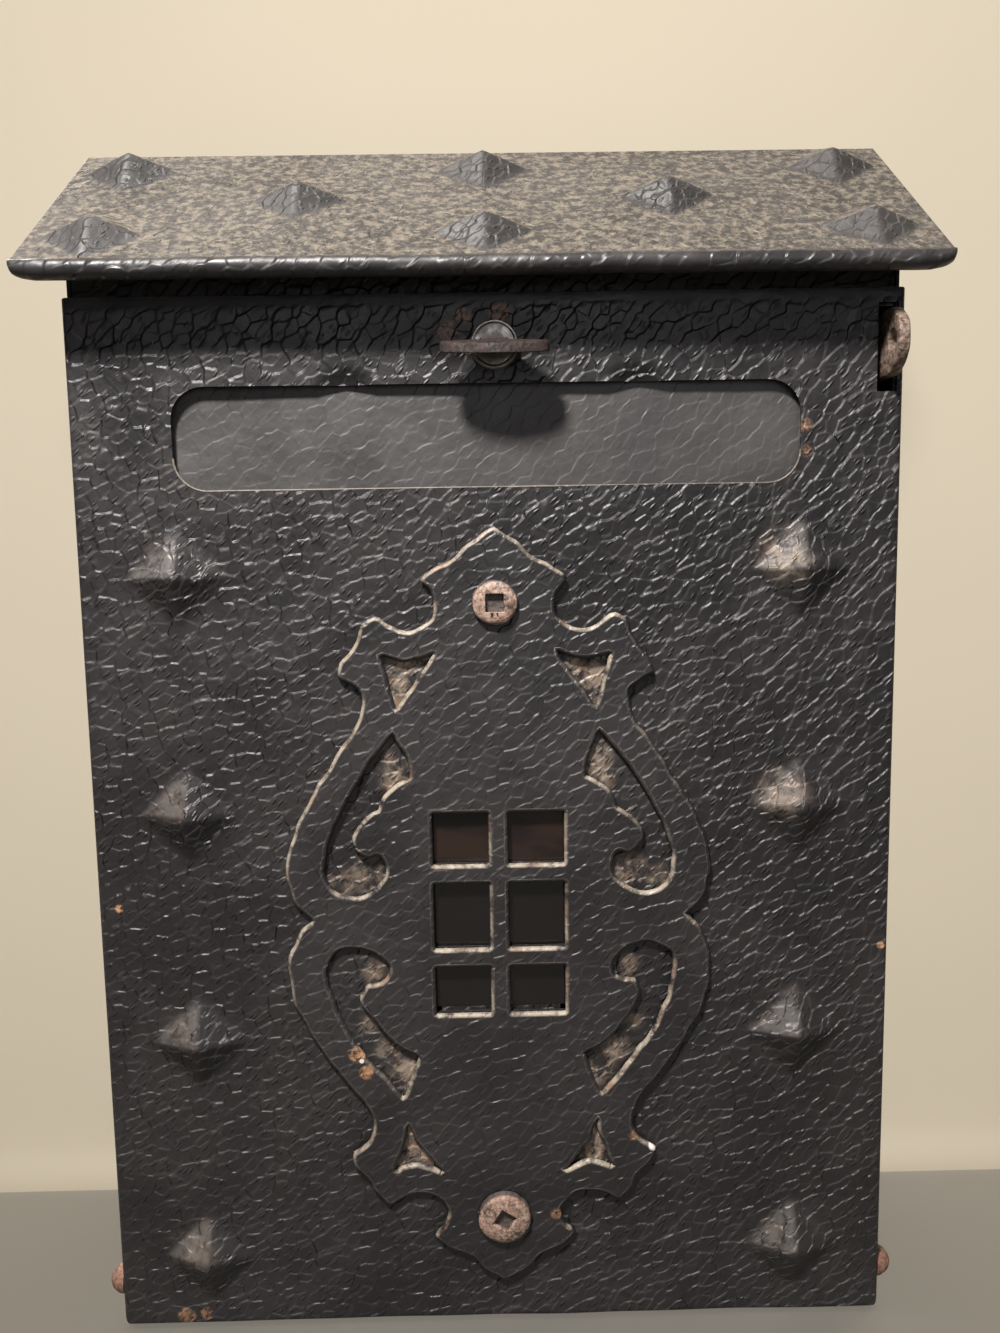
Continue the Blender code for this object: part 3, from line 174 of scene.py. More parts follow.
def scales(s, cell):
    """Hammered scales of about cell mm, as three heights.

    Facets rise toward their upper edge, each has a random level, and short strokes stand on them."""
    def slanted(stretch):
        turn = (0.0, STROKE_LEAN, 0.0)
        return s.add("ShaderNodeMapping", {"Vector": s.warp(0.0016, 210.0), "Rotation": turn,
                                           "Scale": stretch}, vector_type="TEXTURE").outputs[0]

    where = slanted(FACET_STRETCH)
    facets = s.add("ShaderNodeTexVoronoi", {"Vector": where, "Scale": 1000.0 / cell, "Smoothness": 0.32},
                   feature="SMOOTH_F1")
    away = s.add("ShaderNodeVectorMath", {0: where, 1: facets.outputs["Position"]}, operation="SUBTRACT")
    rise = s.math("MULTIPLY", s.part_of(away.outputs[0], "Z"), 1 / MM)
    level = s.add("ShaderNodeSeparateColor", {0: facets.outputs["Color"]}).outputs[0]
    dabs = s.cells(1000.0 / (STROKE_SHARE * cell), slanted(STROKE_STRETCH))
    return rise, level, s.ramp(dabs, 0.08, 0.36, 1.0, 0.0)


def hammered(name, cell=4.6, step=1.15, base=(0.0170, 0.0152, 0.0168), grey=(0.030, 0.0275, 0.0280),
             rough=(0.44, 0.56), dust=0.0, dust_z=(0.60, 0.76), rust_spots=(), white_spots=(),
             rust_amount=0.25, dust_and_shade_points=False, band=None, edges=(),
             edge_span=(0.22, 0.62), wear_and_highlight_tones=((0.300, 0.258, 0.205), (0.215, 0.140, 0.098))):
    """Satin black hammered paint with dust on ledges, rust in places, pale edges on the side facing the lamp
    that are part wear and part painted highlight, and, on the door, painted shade in the dishes.
    """
    s = Shade(name)
    rise, level, stroke = scales(s, cell)
    grain = s.noise(1500.0, 3.0)
    patch = s.ramp(s.noise(26.0, 4.0), 0.36, 0.66)
    mottle = s.noise(420.0, 5.0, 0.7)
    colour = s.mix(patch, base, grey)
    colour = s.mix(s.math("MULTIPLY", mottle, 0.6), colour, WORN)
    if dust:
        up = s.ramp(s.part_of(s.normal(), "Z"), *dust_z)
        lie = s.math("MULTIPLY", up, s.ramp(s.noise(300.0, 7.0, 0.75), 0.43, 0.62, 0.06, 1.0))
        colour = s.mix(s.math("MULTIPLY", lie, dust), colour, DUST)
    if edges:
        # Pale tone where the surface faces the lamp: part rubbed paint, part painted highlight
        lit = s.add("ShaderNodeVectorMath", {0: s.normal(), 1: edges},
                    operation="DOT_PRODUCT").outputs["Value"]
        wear_and_highlight = s.math("MULTIPLY", s.ramp(lit, *edge_span), s.ramp(s.noise(150.0, 7.0, 0.72), 0.36, 0.56))
        tone = s.mix(s.ramp(s.noise(90.0, 2.0), 0.48, 0.70), *wear_and_highlight_tones)
        colour = s.mix(wear_and_highlight, colour, tone)
    # Door only: dust and painted shade given as values at its points
    if dust_and_shade_points:
        speckle = s.ramp(s.noise(110.0, 7.0, 0.72), 0.42, 0.58, 0.03, 1.0)
        tone = s.mix(s.ramp(s.noise(170.0, 4.0), 0.45, 0.66), (0.270, 0.215, 0.168), (0.190, 0.120, 0.085))
        colour = s.mix(s.math("MULTIPLY", s.attribute("dust"), speckle), colour, tone)
        # Near-black painted shade in the dishes over the flap tabs
        colour = s.mix(s.attribute("dish_shade"), colour, DISH_SHADE_TONE)
    if rust_amount:
        freckle = s.ramp(s.noise(240.0, 8.0, 0.75), 0.62, 0.72)
        area = s.ramp(s.noise(14.0, 2.0), 0.46, 0.62)
        colour = s.mix(s.math("MULTIPLY", s.math("MULTIPLY", freckle, area), rust_amount), colour,
                       (0.15, 0.085, 0.055))
    broken = s.ramp(s.noise(520.0, 6.0, 0.75), 0.40, 0.56) if rust_spots else None
    for centre, radius, strength in rust_spots:
        blot = s.math("MULTIPLY", s.math("MULTIPLY", s.spot(centre, radius), broken), strength)
        colour = s.mix(blot, colour, FRESH_RUST)
    for centre, radius in white_spots:
        colour = s.mix(s.spot(centre, radius, 0.3), colour, FLECK)
    roughness = s.math("ADD", s.ramp(patch, 0.0, 1.0, *rough),
                       s.math("MULTIPLY", s.math("SUBTRACT", grain, 0.5), 0.15))
    if band:
        calm = s.ramp(s.part_of(s.place, "Z"), band[0] * MM, band[1] * MM, 1.0, 0.0)
        rise, level, stroke = (s.math("MULTIPLY", value, calm) for value in (rise, level, stroke))
    heights = [(rise, 0.16 * step), (level, 0.26 * step), (stroke, 0.20 * step),
               (s.noise(420.0, 3.0), 0.16 * step), (s.noise(60.0, 3.0), 0.8), (grain, 0.03)]
    return s.finish(colour, roughness, 0.0, heights)


def rusted(name, tone=(0.19, 0.095, 0.055), pale=(0.36, 0.24, 0.18), dark=(0.045, 0.026, 0.018),
           shine=0.0, bumps=0.35, recess_y=None, specular=0.5):
    """Rusty steel with fine pits, with painted shade inside a recess that starts behind recess_y."""
    s = Shade(name)
    broad = s.ramp(s.noise(150.0, 5.0, 0.7), 0.35, 0.65)
    fine = s.ramp(s.noise(620.0, 6.0, 0.75), 0.40, 0.62)
    colour = s.mix(broad, dark, tone)
    colour = s.mix(s.math("MULTIPLY", fine, 0.75), colour, pale)
    if recess_y:
        # Painted shade, near black, inside the screw's recess
        inside = s.ramp(s.part_of(s.place, "Y"), (recess_y + 1.0) * MM, (recess_y + 1.7) * MM)
        colour = s.mix(s.math("MULTIPLY", inside, 0.85), colour, (0.020, 0.018, 0.018))
    pits = s.cells(900.0, s.warp(0.001, 400.0))
    rough = s.ramp(broad, 0.0, 1.0, 0.48, 0.85)
    return s.finish(colour, rough, shine, [(s.noise(420.0, 6.0, 0.7), bumps), (pits, 0.12)],
                    specular=specular)


def zinc(name):
    """Dull zinc with brushed scratches and a few rust freckles."""
    s = Shade(name)
    cloud = s.ramp(s.noise(190.0, 5.0, 0.65), 0.35, 0.68)
    scratch = s.noise(900.0, 2.0, 0.5, stretch=(1.0, 1.0, 0.12))
    colour = s.mix(cloud, (0.20, 0.185, 0.17), (0.42, 0.40, 0.37))
    colour = s.mix(s.ramp(s.noise(420.0, 6.0, 0.75), 0.60, 0.72), colour, (0.15, 0.09, 0.055))
    rough = s.ramp(cloud, 0.0, 1.0, 0.5, 0.33)
    return s.finish(colour, rough, 0.75, [(scratch, 0.03), (cloud, 0.05)])


def pane_glass(name):
    """Nearly black pane whose upper row of windows shows a painted brown reflection."""
    s = Shade(name)
    # Painted brown reflection on the upper row of windows only
    high = s.ramp(s.part_of(s.place, "Z"), 0.176, 0.181)
    cloud = s.ramp(s.noise(45.0, 2.0, 0.5, stretch=(0.7, 1.0, 1.9)), 0.42, 0.66)
    colour = s.mix(s.math("MULTIPLY", high, cloud), (0.006, 0.0048, 0.0055), (0.020, 0.011, 0.009))
    speck = s.ramp(s.noise(1100.0, 4.0, 0.8), 0.72, 0.80)
    colour = s.mix(speck, colour, (0.40, 0.34, 0.28))
    rough = s.ramp(s.noise(70.0, 4.0), 0.3, 0.7, 0.04, 0.14)
    s.shader.inputs["IOR"].default_value = 1.45
    return s.finish(colour, rough, 0.0, [(s.noise(24.0, 1.0), 0.35)])


# Meshes
def link(name, bm, mats, smooth=40.0, body=None):
    """Object from a mesh drawn in millimetres; smooth is the angle of the sharp edges, if any."""
    bmesh.ops.recalc_face_normals(bm, faces=bm.faces)
    bmesh.ops.scale(bm, vec=(MM, MM, MM), verts=bm.verts)
    mesh = bpy.data.meshes.new(name)
    bm.to_mesh(mesh)
    bm.free()
    for mat in mats:
        mesh.materials.append(mat)
    if smooth:
        mesh.shade_smooth()
        mesh.set_sharp_from_angle(angle=math.radians(smooth))
    obj = bpy.data.objects.new(name, mesh)
    bpy.context.scene.collection.objects.link(obj)
    if body:
        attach(obj, body)
    return obj


def prism(bm, axis, outline, low, high):
    """Outline drawn across an axis and drawn out along it."""
    spots = {"X": lambda p, a: (a, p[0], p[1]), "Y": lambda p, a: (p[0], a, p[1]),
             "Z": lambda p, a: (p[0], p[1], a)}[axis]
    near = [bm.verts.new(spots(point, low)) for point in outline]
    far = [bm.verts.new(spots(point, high)) for point in outline]
    bm.faces.new(near)
    bm.faces.new(far)
    for index in range(len(outline)):
        after = (index + 1) % len(outline)
        bm.faces.new((near[index], near[after], far[after], far[index]))


def box(bm, x, y, z):
    prism(bm, "Z", [(x[0], y[0]), (x[1], y[0]), (x[1], y[1]), (x[0], y[1])], z[0], z[1])


def turned(bm, axis, centre, profile, segments, wobble=None):
    """Round piece from a profile of (radius, place along the axis)."""
    rings = []
    for radius, along in profile:
        ring = []
        for index in range(segments if radius else 1):
            turn = 2 * math.pi * index / segments
            reach = radius * (wobble(turn, radius, along) if wobble else 1.0)
            first = centre[0] + reach * math.cos(turn)
            second = centre[1] + reach * math.sin(turn)
            point = {"X": (along, first, second), "Y": (first, along, second)}[axis]
            ring.append(bm.verts.new(point))
        rings.append(ring)
    for start, end in zip(rings, rings[1:]):
        for index in range(segments):
            after = (index + 1) % segments
            if len(start) == 1:
                bm.faces.new((start[0], end[index], end[after]))
            elif len(end) == 1:
                bm.faces.new((start[index], start[after], end[0]))
            else:
                bm.faces.new((start[index], start[after], end[after], end[index]))


def arc(centre, radius, start, end, steps):
    """Points of an arc between two angles in degrees."""
    turns = [math.radians(start + (end - start) * index / steps) for index in range(steps + 1)]
    return [(centre[0] + radius * math.cos(turn), centre[1] + radius * math.sin(turn)) for turn in turns]


def rounded(x, z, radius, steps=8):
    """Rectangle with round corners, from its upper right corner round by the left."""
    points = []
    for cx, cz, start in ((x[1] - radius, z[1] - radius, 0), (x[0] + radius, z[1] - radius, 90),
                          (x[0] + radius, z[0] + radius, 180), (x[1] - radius, z[0] + radius, 270)):
        points += arc((cx, cz), radius, start, start + 90, steps)
    return points


def apply_all(obj):
    """Keeps what the modifiers make of the mesh."""
    deps = bpy.context.evaluated_depsgraph_get()
    mesh = bpy.data.meshes.new_from_object(obj.evaluated_get(deps))
    obj.modifiers.clear()
    old = obj.data
    obj.data = mesh
    bpy.data.meshes.remove(old)


def boolean(obj, bm, operation="DIFFERENCE"):
    cutter = link(obj.name + "_tool", bm, [], smooth=None)
    step = obj.modifiers.new("cut", "BOOLEAN")
    step.operation = operation
    step.solver = "EXACT"
    step.object = cutter
    apply_all(obj)
    bpy.data.objects.remove(cutter, do_unlink=True)


def bevel(obj, width, segments=3, angle=35.0):
    step = obj.modifiers.new("round", "BEVEL")
    step.width = width * MM
    step.segments = segments
    step.limit_method = "ANGLE"
    step.angle_limit = math.radians(angle)
    step.use_clamp_overlap = False
    apply_all(obj)
    obj.data.shade_smooth()


def steps_between(low, high, step, fine=()):
    """Even steps with extra stations near the ends given in fine."""
    count = max(1, round((high - low) / step))
    line = [low + (high - low) * index / count for index in range(count + 1)]
    line += [low + value for value in fine] + [high - value for value in fine]
    return sorted(set(round(value, 4) for value in line))


def slab(bm, us, vs, front, back):
    """Closed sheet whose two faces are given as functions of u and v."""
    rows = []
    for face in (front, back):
        rows.append([[bm.verts.new(face(u, v)) for u in us] for v in vs])
    for grid in rows:
        for low, high in zip(grid, grid[1:]):
            for index in range(len(us) - 1):
                bm.faces.new((low[index], low[index + 1], high[index + 1], high[index]))
    near, far = rows
    for index in range(len(us) - 1):
        for row in (0, -1):
            bm.faces.new((near[row][index], near[row][index + 1], far[row][index + 1], far[row][index]))
    for index in range(len(vs) - 1):
        for column in (0, -1):
            bm.faces.new((near[index][column], near[index + 1][column],
                          far[index + 1][column], far[index][column]))


class Wobble:
    """Smooth seeded unevenness in millimetres, made of a few sine waves."""

    def __init__(self, seed, longest, shortest, count=14):
        pick = random.Random(seed)
        self.waves = []
        for _ in range(count):
            length = pick.uniform(shortest, longest)
            turn = pick.uniform(0, math.pi)
            self.waves.append((2 * math.pi * math.cos(turn) / length, 2 * math.pi * math.sin(turn) / length,
                               pick.uniform(0, 6.28), length / longest))
        self.norm = math.sqrt(sum(wave[3] ** 2 for wave in self.waves) / 2)

    def __call__(self, u, v):
        return sum(a * math.sin(p * u + q * v + r) for p, q, r, a in self.waves) / self.norm


def boss_height(across, along):
    """Height of a four-sided boss with slightly soft ridges and foot."""
    soft, sharp = 0.35, 26.0
    away = (math.hypot(across, soft) + math.hypot(along, soft) - soft * 1.2) / BOSS_RADIUS
    return BOSS_HEIGHT * math.log(1 + math.exp(sharp * (1.0 - away))) / sharp


def smooth_run(points, steps=6):
    """Smooth curve through the points, without the last one."""
    ends = [points[0]] + list(points) + [points[-1]]
    curve = []
    for index in range(1, len(ends) - 2):
        before, start, end, after = (Vector(point) for point in ends[index - 1:index + 3])
        for step in range(steps):
            t = step / steps
            curve.append(tuple((2 * t ** 3 - 3 * t ** 2 + 1) * start
                               + (t ** 3 - 2 * t ** 2 + t) * (end - before) / 2
                               + (3 * t ** 2 - 2 * t ** 3) * end + (t ** 3 - t ** 2) * (after - start) / 2))
    return curve


# Ornament plate, drawn from its middle line and its foot
EDGE_RUNS = [
    [(0.0, 285.2), (4.3, 282.3), (9.2, 279.6), (13.8, 274.6), (20.0, 271.6), (26.9, 267.0)],
    [(26.9, 267.0), (22.8, 263.0), (20.8, 258.0), (22.6, 253.3), (27.0, 250.0), (32.6, 249.1),
     (37.9, 251.4), (41.7, 255.3)],
    [(41.7, 255.3), (46.0, 252.4), (48.9, 246.6), (51.8, 241.3), (55.4, 237.0), (56.7, 233.1)],
    [(56.7, 233.1), (52.2, 230.8), (48.5, 228.0), (47.5, 223.9), (49.2, 217.2), (55.3, 208.2),
     (61.5, 198.5), (67.0, 189.5), (72.3, 180.0), (75.9, 170.0), (76.9, 160.5), (74.8, 151.0),
     (68.4, 144.0)],
    [(68.4, 144.0), (73.4, 138.6), (76.8, 130.5), (77.3, 120.5), (74.8, 109.0), (69.5, 98.5),
     (62.8, 88.0), (55.5, 78.5), (50.2, 70.6), (48.3, 63.5), (50.4, 57.6), (56.9, 53.2)],
    [(56.9, 53.2), (55.6, 48.0), (50.5, 42.4), (48.2, 37.2), (43.8, 31.4)],
    [(43.8, 31.4), (40.0, 34.2), (34.0, 36.4), (26.2, 35.0), (21.4, 29.5), (22.8, 23.6),
     (28.0, 19.9)],
    [(28.0, 19.9), (22.8, 15.2), (16.6, 12.3), (12.2, 9.6), (8.6, 5.4), (3.8, 3.0), (0.0, 0.0)],
]
PIERCED = [
    [[(21.6, 241.2), (27.0, 239.0), (31.5, 238.5), (36.5, 239.3), (40.9, 240.4)],
     [(40.9, 240.4), (38.6, 232.0), (35.9, 220.8)],
     [(35.9, 220.8), (30.2, 228.8), (24.6, 236.4), (21.6, 241.2)]],
    [[(37.1, 212.4), (44.5, 203.5), (52.0, 192.0), (58.8, 179.0), (62.8, 167.5), (62.4, 159.0),
      (58.6, 154.0), (51.5, 152.6), (45.0, 155.6), (41.0, 161.6), (42.9, 167.8), (47.6, 167.4),
      (52.0, 169.6)],
     [(52.0, 169.6), (52.6, 175.0), (49.0, 180.6), (43.0, 184.4)],
     [(43.0, 184.4), (40.4, 191.0), (31.2, 196.2)],
     [(31.2, 196.2), (33.0, 204.4), (37.1, 212.4)]],
    [[(49.6, 119.4), (45.0, 119.7), (41.8, 121.4), (41.2, 126.0), (45.8, 131.4), (53.5, 133.2),
      (60.5, 131.2), (63.6, 125.5), (62.4, 116.5), (59.0, 106.5), (54.0, 96.6), (46.4, 86.4),
      (36.8, 75.0)],
     [(36.8, 75.0), (33.9, 82.0), (30.4, 91.2)],
     [(30.4, 91.2), (39.4, 96.0), (46.0, 104.0), (51.6, 112.4), (49.6, 119.4)]],
    [[(35.6, 64.8), (36.9, 57.4), (41.4, 45.4)],
     [(41.4, 45.4), (37.5, 47.4), (32.3, 48.4), (27.0, 47.2), (22.4, 45.1)],
     [(22.4, 45.1), (28.4, 51.4), (33.0, 58.0), (35.6, 64.8)]],
]


wander_x, wander_z = Wobble(61, 16.0, 5.0), Wobble(62, 16.0, 5.0)
WANDER = 0.22


def on_door(point, side=1):
    """Plate drawing to door place, where the hand-cut edge wanders a little."""
    x, z = OFFSET + side * point[0], PLATE_FOOT + point[1]
    return (x + WANDER * wander_x(x, z), z + WANDER * wander_z(x, z))


def pierced_outlines():
    outlines = []
    for runs in PIERCED:
        drawn = [point for run in runs for point in smooth_run(run)]
        outlines += [[on_door(point, side) for point in drawn] for side in (1, -1)]
    return outlines


def window_spans():
    spans = []
    top = PLATE_FOOT + WINDOW_TOP
    for tall in WINDOW_TALL:
        spans += [((OFFSET + x[0], OFFSET + x[1]), (top - tall, top)) for x in WINDOW_X]
        top -= tall + WINDOW_BAR
    return spans


# Materials in use
DOOR_RUST = [((-137.6, FACE_Y, 166.5), 1.6, 1.0), ((-121.2, FACE_Y, 4.6), 3.4, 0.6),
             ((-113.5, FACE_Y, 5.6), 2.6, 0.6), ((-13.5, FACE_Y, 369.5), 4.0, 0.35),
             ((-7.5, FACE_Y, 374.5), 3.0, 0.35), ((4.5, FACE_Y, 375.5), 3.5, 0.4),
             ((111.3, FACE_Y, 336.0), 2.6, 0.4), ((111.4, FACE_Y, 327.0), 2.6, 0.4),
             ((142.5, FACE_Y, 146.8), 1.6, 0.8)]
PLATE_RUST = [((-52.0, PLATE_FACE, 110.0), 3.2, 1.0), ((-49.0, PLATE_FACE, 103.0), 2.8, 0.9),
              ((50.5, PLATE_FACE, 76.0), 2.4, 0.4), ((21.0, PLATE_FACE, 45.0), 2.4, 0.45)]
PLATE_WHITE = [((57.6, PLATE_FACE + 0.6, 71.2), 1.9), ((-50.6, PLATE_FACE, 107.4), 0.9)]
# On the door the pale tone lands on boss facets that face the key lamp: a painted highlight mixed with some
# wear
DOOR_PAINT = hammered("door_paint", rust_spots=DOOR_RUST, rust_amount=0.5, dust_and_shade_points=True, band=(376.0, 379.5),
                      edges=(-0.18, -0.80, 0.57), edge_span=(0.810, 1.0),
                      wear_and_highlight_tones=((0.090, 0.084, 0.080), (0.100, 0.082, 0.072)))
PLATE_PAINT = hammered("plate_paint", step=0.65, rust_amount=0.3, rust_spots=PLATE_RUST,
                       white_spots=PLATE_WHITE)
# The plate's edges get beige rubbed paint only on the side toward the lamp: part wear, part painted
# highlight
EDGE_PAINT = hammered("edge_paint", cell=3.4, step=0.4, rust_amount=0.6, edges=(-0.42, -0.30, 0.84),
                      rust_spots=PLATE_RUST, white_spots=PLATE_WHITE)
LIP_PAINT = hammered("lip_paint", cell=5.4, step=0.3, rust_amount=0.0, base=(0.12, 0.10, 0.085),
                     grey=(0.20, 0.17, 0.14))
FLAP_PAINT = hammered("flap_paint", step=0.17, base=(0.040, 0.0375, 0.0375),
                      grey=(0.060, 0.056, 0.054), rust_amount=0.1, rough=(0.50, 0.60))
ROOF_PAINT = hammered("roof_paint", cell=4.2, dust=0.85, rust_amount=0.5,
                      base=(0.026, 0.0245, 0.0245), grey=(0.045, 0.041, 0.039), rough=(0.54, 0.66))
BEAD_PAINT = hammered("bead_paint", cell=6.0, step=0.45, dust=0.45, dust_z=(0.55, 0.95), rust_amount=0.5,
                      rough=(0.40, 0.52))
BODY_PAINT = hammered("body_paint", rust_amount=0.5, dust=0.3)
RUST = rusted("forged_rust")
SCREW_RUST = rusted("screw_rust", tone=(0.27, 0.155, 0.11), pale=(0.44, 0.33, 0.27),
                    recess_y=PLATE_FACE - SCREW_PROUD)
PIVOT_RUST = rusted("pivot_rust", tone=(0.15, 0.075, 0.05), pale=(0.30, 0.17, 0.12))
STAPLE_RUST = rusted("staple_rust", tone=(0.085, 0.052, 0.038), pale=(0.29, 0.22, 0.175), shine=0.2)
WING_STEEL = rusted("wing_steel", tone=(0.022, 0.016, 0.015), pale=(0.046, 0.032, 0.028),
                    dark=(0.010, 0.008, 0.008), bumps=0.15, specular=0.12)
ZINC = zinc("worn_zinc")
GLASS = pane_glass("pane_glass")


# Front door
# Dusty places under the ornament, as (place on the plate, reach in mm, strength)
DUST_PATCHES = [((31.0, 233.0), 9.0, 1.0), ((35.5, 224.0), 6.0, 1.0), ((35.0, 202.0), 6.5, 0.9),
                ((37.5, 194.0), 4.5, 0.8), ((46.0, 181.0), 3.0, 0.5), ((48.0, 160.0), 6.0, 0.8),
                ((57.5, 157.0), 5.0, 0.6), ((35.5, 83.0), 6.5, 1.0), ((42.0, 92.0), 5.0, 0.8),
                ((49.0, 103.0), 4.0, 0.5), ((47.0, 124.0), 4.0, 0.7), ((33.0, 51.0), 9.0, 1.0),
                ((36.0, 60.0), 5.0, 1.0)]
door_dents = Wobble(7, 120.0, 35.0)
BOSSES = [(side * BOSS_X, BOSS_TOP_Z - row * BOSS_STEP) for row in range(4) for side in (-1, 1)]
BOSS_REACH = 26
BOSS_DUST = {1: 0.75, 3: 0.65, 6: 0.35}
# The last pair is how far the painted shade round each dish reaches
DISH_REACH, DISH_DEPTH, DISH_SHADE_REACH = (10.3, 6.0), 1.9, (10.6, 6.4)


def door_front(x, z):
    """Front face of the door: bosses, dents, dishes over the flap tabs and folded edges."""
    out = sum(boss_height(x - bx, z - bz) for bx, bz in BOSSES
              if abs(x - bx) < BOSS_REACH and abs(z - bz) < BOSS_REACH)
    calm = min(1.0, (DOOR_HALF - abs(x)) / 20.0, (DOOR_TOP - z) / 12.0)
    y = FACE_Y - out + 0.22 * door_dents(x, z) * max(0.0, calm)
    for tab in TAB_X:
        away = math.hypot((x - tab) / DISH_REACH[0], (z - SLOT_Z[1]) / DISH_REACH[1])
        y += DISH_DEPTH * max(0.0, 1.0 - away) ** 0.8
    for edge, fold in ((DOOR_HALF - abs(x), 1.5), (z - DOOR_BOTTOM, 0.7), (DOOR_TOP - z, 0.5)):
        if edge < fold:
            y += fold - math.sqrt(max(0.0, fold * fold - (fold - edge) ** 2))
    return y


def build_door():
    """Pan of the door: its skin with all openings, and a flange on each side."""
    xs = steps_between(-DOOR_HALF, DOOR_HALF, 1.7, (0.1, 0.35, 0.75, 1.2))
    xs = [x for x in xs if all(abs(x - bx) > 0.6 for bx, _ in BOSSES)] + [-BOSS_X, BOSS_X]
    zs = steps_between(DOOR_BOTTOM, DOOR_TOP, 1.7, (0.08, 0.25, 0.5))
    zs = [z for z in zs if all(abs(z - bz) > 0.6 for _, bz in BOSSES)] + [bz for _, bz in BOSSES[::2]]
    bm = bmesh.new()
    heights = {}

    def front(x, z):
        heights[(x, z)] = door_front(x, z)
        return (x, heights[(x, z)], z)

    def back(x, z):
        return (x, max(heights[(x, z)], FACE_Y - BOSS_HEIGHT) + SHEET, z)

    slab(bm, sorted(xs), sorted(set(zs)), front, back)
    door = link("door_skin", bm, [DOOR_PAINT])
    bm = bmesh.new()
    through = (FACE_Y - 12, FACE_Y + 12)
    prism(bm, "Y", rounded((-SLOT_X, SLOT_X), SLOT_Z, SLOT_CORNER), *through)
    for x, z in window_spans() + [(STAPLE_SLOT_X, STAPLE_SLOT_Z)]:
        box(bm, x, through, z)
    round_by, past = 3.0, 1.0
    for side in (-1, 1):
        start, end = side * (DOOR_HALF - round_by), side * (DOOR_HALF + past)
        corner = arc((start, DOOR_BOTTOM + round_by), round_by, -90, 0 if side > 0 else -180, 6)
        corner += [(end, DOOR_BOTTOM + round_by), (end, DOOR_BOTTOM - past), (start, DOOR_BOTTOM - past)]
        prism(bm, "Y", corner, FACE_Y - 3, FACE_Y + 5)
    boolean(door, bm)
    mark_dust_and_shade(door)

    bm = bmesh.new()
    rear, top = FACE_Y + PAN_DEPTH, DOOR_TOP - 0.2
    for side in (-1, 1):
        edge = [(FACE_Y + 0.7, top), (FACE_Y + 0.7, DOOR_BOTTOM + 2.2), (FACE_Y + 2.4, DOOR_BOTTOM)]
        for step in range(13):
            turn = math.radians(-90 + 90 * step / 12)
            edge.append((PIVOT_Y + (rear - PIVOT_Y) * math.cos(turn),
                         PIVOT_Z + (PIVOT_Z - DOOR_BOTTOM) * math.sin(turn)))
        edge.append((rear, top))
        prism(bm, "X", edge, *sorted((side * (DOOR_HALF - SHEET), side * DOOR_HALF)))
    flange = link("door_flanges", bm, [BODY_PAINT])
    bevel(flange, 0.3, 2)
    for obj in (door, flange):
        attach(obj, "door")
        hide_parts("front_door")


def mark_dust_and_shade(door):
    """Gives the door's outer face its dust, and painted shade in the dishes over the flap tabs, as values at
    its points.
    """
    count = len(door.data.vertices)
    places = np.zeros(count * 3)
    door.data.vertices.foreach_get("co", places)
    places = places.reshape(-1, 3) / MM
    dust = np.zeros(count)
    for side in (-1, 1):
        for (across, up), reach, strength in DUST_PATCHES:
            away = np.hypot(places[:, 0] - OFFSET - side * across, places[:, 2] - PLATE_FOOT - up) / reach
            dust = np.maximum(dust, strength * np.clip(1.6 - 1.2 * away, 0, 1))
    for index, (x, z) in enumerate(BOSSES):
        strength = BOSS_DUST.get(index, 0.10)
        reach = np.hypot(places[:, 0] - x + 6.0, places[:, 2] - z - 5.5) / 9.0
        dust = np.maximum(dust, strength * np.clip(1.3 - reach, 0, 1))
    # Painted shade, darkest at the dishes over the flap tabs
    dish_shade = np.zeros(count)
    for tab in TAB_X:
        away = np.hypot((places[:, 0] - tab) / DISH_SHADE_REACH[0], (places[:, 2] - SLOT_Z[1]) / DISH_SHADE_REACH[1])
        dish_shade = np.maximum(dish_shade, np.clip(2.6 - 2.4 * away, 0, 1))
    outer = places[:, 1] < FACE_Y + 0.6 * SHEET
    for name, values in (("dust", dust * outer), ("dish_shade", dish_shade)):
        layer = door.data.attributes.new(name, "FLOAT", "POINT")
        layer.data.foreach_set("value", values.astype(np.float32))


build_door()


def lip(name, outlines, y, radius, mat, closed=True):
    """Rounded edge along outlines in the door's plane, as a piece of its own."""
    curve = bpy.data.curves.new(name, "CURVE")
    curve.dimensions = "3D"
    curve.bevel_depth = radius * MM
    curve.bevel_resolution = 2
    for outline in outlines:
        spline = curve.splines.new("POLY")
        spline.points.add(len(outline) - 1)
        for point, (x, z) in zip(spline.points, outline):
            point.co = (x * MM, y * MM, z * MM, 1.0)
        spline.use_cyclic_u = closed
    drawn = bpy.data.objects.new(name + "_path", curve)
    bpy.context.scene.collection.objects.link(drawn)
    mesh = bpy.data.meshes.new_from_object(drawn.evaluated_get(bpy.context.evaluated_depsgraph_get()))
    bpy.data.objects.remove(drawn, do_unlink=True)
    bpy.data.curves.remove(curve)
    mesh.materials.clear()
    mesh.materials.append(mat)
    mesh.shade_smooth()
    obj = bpy.data.objects.new(name, mesh)
    bpy.context.scene.collection.objects.link(obj)
    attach(obj, "door")


# The slot's lip leaves out the two upper corners, which come first in the outline
CORNER_STEPS, LIP_RADIUS = 8, 0.42
LOWER_LIP = rounded((-SLOT_X, SLOT_X), SLOT_Z, SLOT_CORNER, CORNER_STEPS)[2 * (CORNER_STEPS + 1):]
lip("slot_lip", [LOWER_LIP], FACE_Y + LIP_RADIUS, LIP_RADIUS, LIP_PAINT, closed=False)


# Ornament plate, whose outlines are round strips that stand 0.2 mm out of the drawn ones
EDGE_RADIUS = 1.5
EDGE_INSET = EDGE_RADIUS - 0.2
EDGE_PROUD = 0.06


